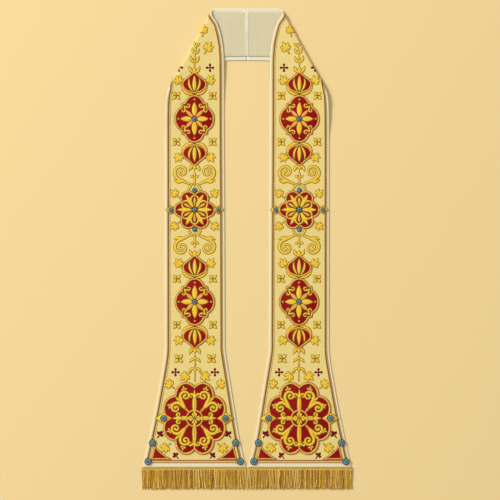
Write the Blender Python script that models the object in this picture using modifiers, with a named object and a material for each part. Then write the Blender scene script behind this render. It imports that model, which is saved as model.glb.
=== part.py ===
"""A Roman-cut clergy stole laid flat: two flared bands face up, folded over at the shoulders.

Each half is one strip of cloth.  Its band lies face up, its shoulder rolls over on a slanting
fold, and its neck section lies behind, lining side up, as far as the centre-back seam.

Distances are in millimetres.  'out' is measured sideways from the centre line and 'drop' down
the cloth from the top edge of the neck.  In the scene, +Y points to the neck, +Z is up, the
origin is under the middle of the whole stole, and the cloth lies on the plane z = 0.
"""
import cmath
import math
from collections import namedtuple

import bmesh
import bpy
from mathutils import Vector

MM = 0.001
TOTAL_LENGTH = 1026.0
WALL = 2.0
SEAM_GAP = 0.3

# The turned satin margin outside the braid, and the braid itself.
MARGIN = 8.5
BRAID_WIDTH = 6.0
BRAID_THICK = 0.8
LINING_THICK = 1.0
HEM_DROP = 977.5

# The shoulder fold: the axis of its roll starts at this point and slants down and outwards.
FOLD_ANGLE = math.radians(29.0)
FOLD_OUT = 69.8
FOLD_DROP = 2.9
ROLL_RADIUS = 3.0
ROLL_STEPS = 6

# Where the cloth's two edges meet the roll, measured along its axis: above it and beneath it.
ROLL_TOP_INNER = 11.3
ROLL_TOP_OUTER = 209.8
ROLL_UNDER_INNER = -3.3
ROLL_UNDER_OUTER = 184.2

EdgePoint = namedtuple("EdgePoint", "drop out")
INNER_EDGE = [
    EdgePoint(20.0, 71.6), EdgePoint(28.6, 65.4), EdgePoint(39.2, 60.9), EdgePoint(56.0, 55.8),
    EdgePoint(78.0, 51.6), EdgePoint(110.0, 49.2), EdgePoint(237.0, 48.8), EdgePoint(408.0, 47.9),
    EdgePoint(700.0, 46.9), EdgePoint(727.0, 46.6), EdgePoint(748.0, 43.7), EdgePoint(791.0, 36.6),
    EdgePoint(855.0, 26.4), EdgePoint(919.0, 15.8), EdgePoint(HEM_DROP, 2.6),
]
OUTER_EDGE = [
    EdgePoint(193.0, 172.6), EdgePoint(205.0, 173.8), EdgePoint(237.0, 174.6), EdgePoint(290.0, 174.8),
    EdgePoint(700.0, 174.8), EdgePoint(727.0, 175.0), EdgePoint(748.0, 176.9), EdgePoint(791.0, 184.2),
    EdgePoint(855.0, 196.0), EdgePoint(919.0, 209.4), EdgePoint(HEM_DROP, 222.4),
]

# Rows across the band from the roll down: where each meets the two edges, and how high the
# cloth's underside lies there.  It comes down from the roll, over the neck section, to the floor.
BandRow = namedtuple("BandRow", "inner_drop outer_drop lift")
FAN_ROWS = [
    BandRow(20.0, 193.0, 5.9), BandRow(28.6, 199.0, 5.6), BandRow(39.2, 205.0, 5.1),
    BandRow(56.0, 211.0, 4.6), BandRow(78.0, 218.0, 4.1), BandRow(110.0, 228.0, 3.8),
    BandRow(136.0, 240.0, 2.9), BandRow(164.0, 254.0, 1.6), BandRow(194.0, 270.0, 0.5),
    BandRow(226.0, 290.0, 0.0), BandRow(262.0, 316.0, 0.0), BandRow(302.0, 346.0, 0.0),
    BandRow(346.0, 380.0, 0.0), BandRow(394.0, 418.0, 0.0),
]
STRAIGHT_ROWS = [470.0, 560.0, 645.0, 705.0, 732.0, 760.0, 790.0, 820.0, 850.0, 880.0, 910.0, 938.0]

# Rows across the neck section, from the roll to the centre-back seam.
NeckRow = namedtuple("NeckRow", "top_out low_out low_drop")
NECK_ROWS = [
    NeckRow(59.6, 140.6, 152.6), NeckRow(51.0, 121.4, 140.0), NeckRow(40.5, 98.0, 127.9),
    NeckRow(29.8, 72.4, 117.2), NeckRow(20.2, 49.0, 111.8), NeckRow(10.7, 24.5, 111.0),
    NeckRow(SEAM_GAP / 2, SEAM_GAP / 2, 110.6),
]
PLAIN_COLUMNS = 5

# Fringe: a narrow header sewn under the hem, with the strands that hang from it.
HEADER_INNER = 0.8
HEADER_OUTER = 225.0
HEADER_DEPTH = 5.5
HEADER_THICK = 1.7
STRAND_COUNT = 110
STRAND_FILL = 0.72
STRAND_FLOOR = 0.25
STRAND_THICK = 1.2
STRAND_UNEVEN = 1.6
STRAND_LEAN = 1.0
STRAND_TAPER = 0.8

# Raised ornament: plates of padded red satin, and round cut stones.
PLATE_THICK = 0.9
STEPS_A_LOBE = 6
STONE_FACETS = 12
STONE_CROWN = 0.62

# Foils on the band's axis: round lobes of one reach, whose circles meet at the cusps.  A barb
# is the reach of a point that stands out of each cusp, and 'stretch' is the height over the
# width.  'first' is the direction of the first lobe, in degrees from outwards.
Foil = namedtuple("Foil", "name drop lobes reach cusp stretch barb first")
FOILS = [
    Foil("upper_quatrefoil", 235.5, 4, 42.0, 31.0, 1.19, 40.0, 90.0),
    Foil("rosette", 429.0, 6, 43.0, 33.5, 1.0, 0.0, 0.0),
    Foil("lower_quatrefoil", 625.0, 4, 42.0, 31.0, 1.19, 40.0, 90.0),
    Foil("roundel", 873.0, 8, 69.0, 58.5, 1.16, 0.0, 22.5),
]
BARB_SWEEP = 0.8

# Fruits stand with their stalks towards a quatrefoil, above and below it.
FRUIT_OFFSET = 52.5
FRUIT_HALF_WIDTH = 23.0
FRUIT_HEIGHT = 43.0
FRUIT_HUB = 0.45
FruitWidth = namedtuple("FruitWidth", "up share")
FRUIT_WIDTHS = [
    FruitWidth(0.0, 0.0), FruitWidth(0.06, 0.42), FruitWidth(0.2, 0.82), FruitWidth(0.42, 1.0),
    FruitWidth(0.62, 0.88), FruitWidth(0.8, 0.5), FruitWidth(0.92, 0.24), FruitWidth(1.0, 0.2),
]

# Corner pieces fill the angles of the border at the hem, with a hollow inner side.
CORNER_FROM_EDGE = 22.0
CORNER_FROM_HEM = 16.5
CORNER_ALONG = 38.0
CORNER_UP = 26.0
CORNER_HOLLOW = 0.62
CORNER_STEPS = 8

# A stone stands on the band's axis, or as a pair to the two sides of it.
Stone = namedtuple("Stone", "name drop aside radius height rests_on")
STONES = [
    Stone("upper_stone", 235.5, 0.0, 5.6, 2.6, "plate"),
    Stone("rosette_stone", 429.0, 0.0, 5.6, 2.6, "plate"),
    Stone("rosette_top_stone", 387.0, 0.0, 5.6, 2.6, "panel"),
    Stone("rosette_low_stone", 471.0, 0.0, 5.6, 2.6, "panel"),
    Stone("rosette_side_stone", 429.0, 50.0, 5.6, 2.6, "braid"),
    Stone("lower_stone", 625.0, 0.0, 5.6, 2.6, "plate"),
    Stone("roundel_stone", 873.0, 58.0, 7.3, 3.2, "plate"),
    Stone("border_stone", 925.0, 86.2, 7.8, 3.2, "braid"),
    Stone("corner_stone", 966.0, 95.5, 7.8, 3.2, "braid"),
]

COLOURS = {
    "satin": (0.80, 0.71, 0.49), "braid": (0.42, 0.24, 0.05), "lining": (0.70, 0.62, 0.40),
    "fringe": (0.55, 0.33, 0.04), "plate": (0.36, 0.01, 0.01), "stone": (0.04, 0.16, 0.26),
}


def down_axis():
    """The direction of the fold's axis in (out, drop)."""
    return Vector((math.sin(FOLD_ANGLE), math.cos(FOLD_ANGLE)))


def off_axis():
    """The direction square to the fold's axis, away from the cloth."""
    return Vector((math.cos(FOLD_ANGLE), -math.sin(FOLD_ANGLE)))


def fold_point(along, beyond=0.0):
    """A point beside the fold, at a distance along its axis and a distance beyond it."""
    return Vector((FOLD_OUT, FOLD_DROP)) + along * down_axis() + beyond * off_axis()


def edge_out(table, drop):
    """How far out an edge lies at a drop, read from a smooth curve through its table."""
    last = len(table) - 2
    index = max(0, min(last, sum(1 for point in table if point.drop <= drop) - 1))
    low, high = table[index], table[index + 1]
    before, after = table[max(0, index - 1)], table[min(last + 1, index + 2)]
    span = high.drop - low.drop
    low_slope = (high.out - before.out) / (high.drop - before.drop) * span
    high_slope = (after.out - low.out) / (after.drop - low.drop) * span
    t = (drop - low.drop) / span
    return ((2 * t ** 3 - 3 * t ** 2 + 1) * low.out + (t ** 3 - 2 * t ** 2 + t) * low_slope
            + (3 * t ** 2 - 2 * t ** 3) * high.out + (t ** 3 - t ** 2) * high_slope)


class Station:
    """One row across the strip, with its place in the folded cloth and in the flat cloth."""

    def __init__(self, inner, outer, middle, normal, flat_inner=None, flat_outer=None):
        self.inner = inner
        self.outer = outer
        self.middle = middle
        self.normal = normal
        self.flat_inner = flat_inner or inner
        self.flat_outer = flat_outer or outer
        self.inner_sine = self.outer_sine = 1.0

    def inset(self, from_inner, distance):
        """The point of this row that lies a distance in from one edge, square to that edge."""
        way = (self.outer - self.inner).normalized()
        if from_inner:
            return self.inner + way * distance / self.inner_sine
        return self.outer - way * distance / self.outer_sine

    def at(self, column):
        """The point of this row at a column: ('inner' or 'outer', inset) or ('between', share)."""
        kind, value = column
        if kind == "between":
            start = self.inset(True, MARGIN + BRAID_WIDTH)
            return start.lerp(self.inset(False, MARGIN + BRAID_WIDTH), value)
        return self.inset(kind == "inner", value)

    def place(self, column, raised):
        """The scene point of a column, raised by a height over the middle of the wall."""
        point = self.at(column)
        lifted = Vector((point.x, TOTAL_LENGTH / 2 - point.y, self.middle)) + self.normal * raised
        return lifted * MM


def unfolded(point):
    """Where a point of the neck section lies in the flat cloth, past the unrolled fold."""
    behind = -(point - Vector((FOLD_OUT, FOLD_DROP))).dot(off_axis())
    return point + off_axis() * (2 * behind + math.pi * ROLL_RADIUS)


def band_stations():
    """The rows of the band, from the hem up to the last one before the roll."""
    up = Vector((0.0, 0.0, 1.0))
    hem_rows = [HEM_DROP, HEM_DROP - MARGIN, HEM_DROP - MARGIN - BRAID_WIDTH]
    rows = [BandRow(drop, drop, 0.0) for drop in hem_rows + STRAIGHT_ROWS[::-1]] + FAN_ROWS[::-1]
    return [Station(Vector((edge_out(INNER_EDGE, row.inner_drop), row.inner_drop)),
                    Vector((edge_out(OUTER_EDGE, row.outer_drop), row.outer_drop)),
                    row.lift + WALL / 2, up) for row in rows]


def roll_stations():
    """The rows round the roll, from its top to its underside."""
    stations = []
    across = off_axis()
    for step in range(ROLL_STEPS + 1):
        share = step / ROLL_STEPS
        turn = math.pi * share
        beyond = ROLL_RADIUS * math.sin(turn)
        ends = [ROLL_TOP_INNER + share * (ROLL_UNDER_INNER - ROLL_TOP_INNER),
                ROLL_TOP_OUTER + share * (ROLL_UNDER_OUTER - ROLL_TOP_OUTER)]
        normal = Vector((across.x * math.sin(turn), -across.y * math.sin(turn), math.cos(turn)))
        stations.append(Station(*[fold_point(end, beyond) for end in ends],
                                WALL / 2 + ROLL_RADIUS * (1 + math.cos(turn)), normal,
                                *[fold_point(end, ROLL_RADIUS * turn) for end in ends]))
    return stations


def neck_stations():
    """The rows of the neck section, from the roll to the centre-back seam."""
    down = Vector((0.0, 0.0, -1.0))
    stations = []
    for row in NECK_ROWS:
        ends = [Vector((row.top_out, 0.0)), Vector((row.low_out, row.low_drop))]
        stations.append(Station(*ends, WALL / 2, down, *[unfolded(end) for end in ends]))
    return stations


def strip_stations():
    """All the rows of one half, from hem to centre back, with the slant of each to the edges."""
    stations = band_stations() + roll_stations() + neck_stations()
    for index, station in enumerate(stations):
        before, after = stations[max(0, index - 1)], stations[min(len(stations) - 1, index + 1)]
        way = (station.flat_outer - station.flat_inner).normalized()
        inner_way = (after.flat_inner - before.flat_inner).normalized()
        outer_way = (after.flat_outer - before.flat_outer).normalized()
        station.inner_sine = abs(way.cross(inner_way))
        station.outer_sine = abs(way.cross(outer_way))
    return stations


def grid_mesh(points, keep=None):
    """A mesh grid moved onto rows of points; keep says which cells stay, by row and column."""
    rows, columns = len(points), len(points[0])
    mesh = bmesh.new()
    bmesh.ops.create_grid(mesh, x_segments=columns - 1, y_segments=rows - 1, size=0.5)
    if keep:
        cells = {face: face.calc_center_median() + Vector((0.5, 0.5, 0.0)) for face in mesh.faces}
        unwanted = [face for face, cell in cells.items()
                    if not keep(int(cell.y * (rows - 1)), int(cell.x * (columns - 1)))]
        bmesh.ops.delete(mesh, geom=unwanted, context="FACES")
    for vertex in mesh.verts:
        column = round((vertex.co.x + 0.5) * (columns - 1))
        row = round((vertex.co.y + 0.5) * (rows - 1))
        vertex.co = points[row][column]
    return mesh


def add_object(collection, name, mesh, side, finish):
    """Puts a right-hand mesh in the scene as a named piece, mirrored where it is a left one."""
    if side < 0:
        bmesh.ops.scale(mesh, vec=(-1.0, 1.0, 1.0), verts=mesh.verts)
        bmesh.ops.reverse_faces(mesh, faces=mesh.faces)
    data = bpy.data.meshes.new(name)
    mesh.to_mesh(data)
    mesh.free()
    piece = bpy.data.objects.new(name, data)
    collection.objects.link(piece)
    data.materials.append(material(name + "_finish", finish))
    return piece


def material(name, finish):
    """A plain material in one of the stole's colours."""
    made = bpy.data.materials.new(name)
    made.use_nodes = True
    shader = made.node_tree.nodes["Principled BSDF"]
    shader.inputs["Base Color"].default_value = (*COLOURS[finish], 1.0)
    shader.inputs["Roughness"].default_value = 0.25 if finish == "stone" else 0.6
    shader.inputs["Metallic"].default_value = 0.5 if finish in ("fringe", "braid") else 0.0
    return made


def thicken(piece, thickness):
    """Gives a sheet its wall, half on each side."""
    wall = piece.modifiers.new("wall", "SOLIDIFY")
    wall.thickness = thickness * MM
    wall.offset = 0.0
    wall.use_even_offset = True


def columns_across(first_inset):
    """The columns from an inset at one edge to the same inset at the other."""
    insets = [inset for inset in (0.0, MARGIN, MARGIN + BRAID_WIDTH) if inset >= first_inset]
    plain = [("between", (index + 1) / (PLAIN_COLUMNS + 1)) for index in range(PLAIN_COLUMNS)]
    return ([("inner", inset) for inset in insets] + plain
            + [("outer", inset) for inset in reversed(insets)])


def add_panel(collection, label, side, stations):
    """One half of the stole: band, roll and neck section in one wall of cloth."""
    points = [[station.place(column, 0.0) for column in columns_across(0.0)]
              for station in stations]
    panel = add_object(collection, label + "_panel", grid_mesh(points), side, "satin")
    thicken(panel, WALL)


def add_lining(collection, label, side, stations):
    """The lining of the neck section, set in from its edges and moved out from its upper face."""
    raised = -(WALL / 2 + SEAM_GAP + LINING_THICK / 2)
    points = [[station.place(column, raised) for column in columns_across(MARGIN)]
              for station in stations[-len(NECK_ROWS):]]
    lining = add_object(collection, label + "_neck_lining", grid_mesh(points), side, "lining")
    thicken(lining, LINING_THICK)


def add_braid(collection, label, side, stations):
    """The braid: up the inner edge, along the hem and up the outer edge, round to the roll."""
    columns = [("inner", MARGIN), ("inner", MARGIN + BRAID_WIDTH),
               ("outer", MARGIN + BRAID_WIDTH), ("outer", MARGIN)]
    raised = WALL / 2 + SEAM_GAP + BRAID_THICK / 2
    run = stations[1:-(len(NECK_ROWS) + ROLL_STEPS // 2)]
    points = [[station.place(column, raised) for column in columns] for station in run]
    mesh = grid_mesh(points, keep=lambda row, column: row == 0 or column != 1)
    thicken(add_object(collection, label + "_edge_braid", mesh, side, "braid"), BRAID_THICK)


def add_fringe(collection, label, side):
    """The fringe: a flat header just past the hem, with square strands drawn out of its front."""
    pitch = (HEADER_OUTER - HEADER_INNER) / STRAND_COUNT
    cuts = [HEADER_INNER]
    for index in range(STRAND_COUNT):
        middle = HEADER_INNER + pitch * (index + 0.5)
        cuts += [middle - pitch * STRAND_FILL / 2, middle + pitch * STRAND_FILL / 2]
    cuts.append(HEADER_OUTER)
    back = TOTAL_LENGTH / 2 - HEM_DROP - SEAM_GAP
    front = back - HEADER_DEPTH
    mesh = grid_mesh([[Vector((cut, y, 0.0)) * MM for cut in cuts] for y in (front, back)])
    bmesh.ops.reverse_faces(mesh, faces=mesh.faces)
    walls = bmesh.ops.extrude_face_region(mesh, geom=list(mesh.faces))
    top = [item for item in walls["geom"] if isinstance(item, bmesh.types.BMVert)]
    bmesh.ops.translate(mesh, verts=top, vec=(0.0, 0.0, HEADER_THICK * MM))
    bmesh.ops.recalc_face_normals(mesh, faces=mesh.faces)
    roots = sorted((face for face in mesh.faces if face.normal.y < -0.5),
                   key=lambda face: face.calc_center_median().x)[1::2]
    drawn = bmesh.ops.extrude_discrete_faces(mesh, faces=roots)["faces"]
    for index, tip in enumerate(drawn):
        shape_tip(tip, index, pitch)
    bmesh.ops.recalc_face_normals(mesh, faces=mesh.faces)
    add_object(collection, label + "_fringe", mesh, side, "fringe")


def shape_tip(tip, index, pitch):
    """Moves the end of one strand out to its own length and lean, just above the floor."""
    root = tip.calc_center_median().x / MM
    lean = STRAND_LEAN * math.sin(index * 0.17)
    shorter = STRAND_UNEVEN * (0.5 + 0.5 * math.sin(index * 2.4))
    for vertex in tip.verts:
        across = math.copysign(pitch * STRAND_FILL * STRAND_TAPER / 2, vertex.co.x / MM - root)
        height = STRAND_FLOOR + (STRAND_THICK if vertex.co.z > HEADER_THICK * MM / 2 else 0.0)
        vertex.co = Vector((root + lean + across, shorter - TOTAL_LENGTH / 2, height)) * MM


def surface_height(stations, point):
    """The height of the band's upper face at (out, drop), read between the rows beside it."""
    below = None
    for station in stations[:-(len(NECK_ROWS) + ROLL_STEPS)]:
        way = (station.outer - station.inner).normalized()
        distance = way.cross(point - station.inner)
        if distance > 0.0:
            share = distance / (distance - below[1])
            return WALL / 2 + station.middle + share * (below[0].middle - station.middle)
        below = (station, distance)
    raise ValueError("the point lies beyond the band")


def axis_out(drop):
    """How far out the middle of the band lies at a drop."""
    return (edge_out(INNER_EDGE, drop) + edge_out(OUTER_EDGE, drop)) / 2


def half_width(drop):
    """Half the band's width at a drop."""
    return (edge_out(OUTER_EDGE, drop) - edge_out(INNER_EDGE, drop)) / 2


def foil_rim(foil):
    """The points round a foil, from its middle: arcs between the cusps, or between the barbs."""
    half = math.pi / foil.lobes
    centre = (foil.reach ** 2 - foil.cusp ** 2) / (2 * (foil.reach - foil.cusp * math.cos(half)))
    sweep = cmath.phase(cmath.rect(foil.cusp, half) - centre) * (BARB_SWEEP if foil.barb else 1.0)
    rim = []
    for lobe in range(foil.lobes):
        turn = cmath.rect(1.0, math.radians(foil.first) + 2 * half * lobe)
        for step in range(STEPS_A_LOBE + (1 if foil.barb else 0)):
            arc = cmath.rect(foil.reach - centre, sweep * (2 * step / STEPS_A_LOBE - 1))
            rim.append((centre + arc) * turn)
        if foil.barb:
            rim.append(cmath.rect(foil.barb, half) * turn)
    return [complex(point.real, point.imag * foil.stretch) for point in rim]


def fruit_rim():
    """The points round a fruit, from the middle of its stalk's end, the fruit upright."""
    right = [complex(FRUIT_HALF_WIDTH * width.share, FRUIT_HEIGHT * width.up) for width in FRUIT_WIDTHS]
    return right + [complex(-point.real, point.imag) for point in reversed(right[1:])]


def corner_rim(hand):
    """The points round a corner piece, from the band's axis at the hem; 'hand' is its side."""
    slope = math.atan2(half_width(HEM_DROP) - half_width(HEM_DROP - CORNER_UP), CORNER_UP)
    corner = complex(half_width(HEM_DROP) - CORNER_FROM_EDGE, CORNER_FROM_HEM)
    up_side = corner + CORNER_UP * complex(-math.sin(slope), math.cos(slope))
    bay = corner + (up_side - CORNER_ALONG - corner) * (1.0 - CORNER_HOLLOW)
    shares = [step / CORNER_STEPS for step in range(CORNER_STEPS + 1)]
    arch = [up_side * (1 - t) ** 2 + bay * 2 * t * (1 - t) + (corner - CORNER_ALONG) * t * t
            for t in shares]
    rim = [corner] + arch
    return rim if hand > 0 else [complex(-point.real, point.imag) for point in reversed(rim)]


def add_plate(collection, name, side, stations, drop, hub, rim):
    """A padded plate, its points moved out from the cloth beneath it.

    The hub and the rim's points are given from the band's axis at a drop, out and up.
    """
    mesh = bmesh.new()
    bmesh.ops.create_circle(mesh, cap_ends=True, cap_tris=True, segments=len(rim), radius=1.0)
    middle = min(mesh.verts, key=lambda vertex: vertex.co.length)
    around = sorted((vertex for vertex in mesh.verts if vertex is not middle),
                    key=lambda vertex: math.atan2(vertex.co.y, vertex.co.x))
    for vertex, place in zip([middle] + around, [hub] + rim):
        vertex.co = Vector((axis_out(drop) + place.real, drop - place.imag, 0.0))
    bmesh.ops.subdivide_edges(mesh, edges=middle.link_edges[:], cuts=1)
    for vertex in mesh.verts:
        point = Vector((vertex.co.x, vertex.co.y))
        height = surface_height(stations, point) + SEAM_GAP + PLATE_THICK / 2
        vertex.co = Vector((point.x, TOTAL_LENGTH / 2 - point.y, height)) * MM
    thicken(add_object(collection, name, mesh, side, "plate"), PLATE_THICK)


def add_plates(collection, label, side, stations):
    """All the padded plates of one band: foils, fruits by the quatrefoils, and corner pieces."""
    for foil in FOILS:
        add_plate(collection, f"{label}_{foil.name}", side, stations, foil.drop, 0j, foil_rim(foil))
        if foil.barb:
            for place, turn in (("above", 1), ("below", -1)):
                name = f"{label}_{foil.name}_fruit_{place}"
                rim = [turn * (point + 1j * FRUIT_OFFSET) for point in fruit_rim()]
                hub = turn * 1j * (FRUIT_OFFSET + FRUIT_HUB * FRUIT_HEIGHT)
                add_plate(collection, name, side, stations, foil.drop, hub, rim)
    for place, hand in (("inner", -1), ("outer", 1)):
        rim = corner_rim(hand)
        corner = max(rim, key=lambda point: abs(point.real) - point.imag)
        hub = corner + (sum(rim) / len(rim) - corner) / 2
        add_plate(collection, f"{label}_corner_piece_{place}", side, stations, HEM_DROP, hub, rim)


def add_stone(collection, name, side, stations, stone, aside):
    """A round cut stone with a flat crown, level over what it rests on."""
    seat = {"panel": SEAM_GAP, "braid": 2 * SEAM_GAP + BRAID_THICK,
            "plate": 2 * SEAM_GAP + PLATE_THICK}[stone.rests_on]
    middle = Vector((axis_out(stone.drop) + aside, stone.drop))
    sides = [Vector((1, 0)), Vector((-1, 0)), Vector((0, 1)), Vector((0, -1))]
    base = seat + max(surface_height(stations, middle + stone.radius * way) for way in sides)
    mesh = bmesh.new()
    bmesh.ops.create_cone(mesh, cap_ends=True, segments=STONE_FACETS, radius1=stone.radius * MM,
                          radius2=stone.radius * STONE_CROWN * MM, depth=stone.height * MM)
    place = Vector((middle.x, TOTAL_LENGTH / 2 - middle.y, base + stone.height / 2)) * MM
    bmesh.ops.translate(mesh, verts=mesh.verts, vec=place)
    add_object(collection, name, mesh, side, "stone")


def add_stones(collection, label, side, stations):
    """All the stones of one band: single ones on its axis, and pairs to its two sides."""
    for stone in STONES:
        if stone.aside == 0.0:
            add_stone(collection, f"{label}_{stone.name}", side, stations, stone, 0.0)
        else:
            for place, aside in (("inner", -stone.aside), ("outer", stone.aside)):
                name = f"{label}_{stone.name}_{place}"
                add_stone(collection, name, side, stations, stone, aside)


def build_stole():
    """Clears the scene and builds both halves of the stole."""
    for old in list(bpy.data.objects):
        bpy.data.objects.remove(old)
    collection = bpy.data.collections.new("clergy_stole")
    bpy.context.scene.collection.children.link(collection)
    stations = strip_stations()
    for label, side in (("left", -1), ("right", 1)):
        add_panel(collection, label, side, stations)
        add_lining(collection, label, side, stations)
        add_braid(collection, label, side, stations)
        add_fringe(collection, label, side)
        add_plates(collection, label, side, stations)
        add_stones(collection, label, side, stations)


build_stole()
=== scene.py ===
"""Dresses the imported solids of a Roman-cut clergy stole that lies flat, its bands face up.

The stole is two mirrored strips of embroidered silk.  Each band lies face up, rolls over on a
slanting fold at the shoulder, and its neck section lies behind with its lining upwards.

Sizes are in millimetres unless a name says otherwise.  'out' is measured sideways from the
centre line, 'drop' down the cloth from the top edge of the neck.  A drawing of a motif uses
complex numbers: the real part runs across the band, the imaginary part towards the neck.
"""
from __future__ import annotations

import cmath
import logging
import math
from collections.abc import Callable, Sequence
from dataclasses import dataclass
from enum import Enum
from itertools import accumulate

import bmesh
import bpy
from bpy.types import Material, Node, NodeSocket, NodeTree, Object
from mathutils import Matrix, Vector, noise


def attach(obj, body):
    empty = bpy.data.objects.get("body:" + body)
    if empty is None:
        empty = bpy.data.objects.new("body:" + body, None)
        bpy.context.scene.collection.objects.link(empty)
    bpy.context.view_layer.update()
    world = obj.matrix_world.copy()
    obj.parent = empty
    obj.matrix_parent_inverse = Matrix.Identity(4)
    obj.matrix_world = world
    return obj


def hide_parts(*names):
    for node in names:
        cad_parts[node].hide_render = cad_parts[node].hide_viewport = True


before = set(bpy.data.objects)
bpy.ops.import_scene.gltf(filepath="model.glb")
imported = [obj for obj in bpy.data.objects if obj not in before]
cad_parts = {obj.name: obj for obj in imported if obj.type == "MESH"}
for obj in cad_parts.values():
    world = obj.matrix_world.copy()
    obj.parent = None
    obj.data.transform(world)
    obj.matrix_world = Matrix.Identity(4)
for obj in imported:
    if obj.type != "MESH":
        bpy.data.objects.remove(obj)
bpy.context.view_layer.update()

LOG = logging.getLogger("stole")
MM = 0.001
BODY = "root"
UP = Vector((0.0, 0.0, 1.0))

Pair = tuple[float, float]
Path = list[complex]
Seats = list[tuple[Vector, Vector]]


@dataclass(frozen=True)
class Smooth:
    """A smooth curve through a short table of (place, value) pairs.

    Args:
        pairs: the table, its places rising.
    """

    pairs: tuple[Pair, ...]

    @classmethod
    def even(cls, *values: float) -> Smooth:
        """The curve through values at 0, 1, 2 and so on."""
        return cls(tuple((float(place), value) for place, value in enumerate(values)))

    def __call__(self, place: float) -> float:
        """The value at a place, held level past the table's ends.

        Args:
            place: where to read the curve.

        Returns:
            The value there.
        """
        pairs = self.pairs
        last = len(pairs) - 1
        place = min(max(place, pairs[0][0]), pairs[last][0])
        index = max(0, min(last - 1, sum(1 for pair in pairs if pair[0] <= place) - 1))
        low, high = pairs[index], pairs[index + 1]
        before, after = pairs[max(0, index - 1)], pairs[min(last, index + 2)]
        span = high[0] - low[0]
        low_slope = (high[1] - before[1]) / (high[0] - before[0]) * span
        high_slope = (after[1] - low[1]) / (after[0] - low[0]) * span
        t = (place - low[0]) / span
        return ((2 * t ** 3 - 3 * t ** 2 + 1) * low[1] + (t ** 3 - 2 * t ** 2 + t) * low_slope
                + (3 * t ** 2 - 2 * t ** 3) * high[1] + (t ** 3 - t ** 2) * high_slope)


@dataclass
class Row:
    """One row across the strip: its two ends in the folded and in the flat cloth.

    'middle' is the height of the wall's middle, 'normal' the way that the face looks, and the
    sines tell how square the row meets the edges.
    """

    inner: Vector
    outer: Vector
    middle: float
    normal: Vector
    flat_inner: Vector
    flat_outer: Vector
    inner_sine: float = 1.0
    outer_sine: float = 1.0
    narrow: float = 1.0

    def share(self, column: tuple[str, float], guard: float = 0.0) -> float:
        """How far along the row a column lies.

        Args:
            column: ('inner' or 'outer', inset from that edge) or ('between', share).
            guard: the inset at which the 'between' columns start.

        Returns:
            The share of the row from its inner end, 0 to 1.
        """
        length = (self.outer - self.inner).length
        kind, value = column
        if kind == "inner":
            return value * self.narrow / self.inner_sine / length
        if kind == "outer":
            return 1.0 - value / self.outer_sine / length
        start = guard * self.narrow / self.inner_sine / length
        stop = 1.0 - guard / self.outer_sine / length
        return start + (stop - start) * value

    def place(self, share: float, raised: float) -> Vector:
        """The point at a share of the row, raised over the middle of the wall, in millimetres."""
        point = self.inner.lerp(self.outer, share)
        return Vector((point.x, StoleCut.LENGTH / 2 - point.y, self.middle)) + self.normal * raised

    def flat(self, share: float) -> Vector:
        """Where a share of the row lies in the flat cloth, as (out, drop)."""
        return self.flat_inner.lerp(self.flat_outer, share)


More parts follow.
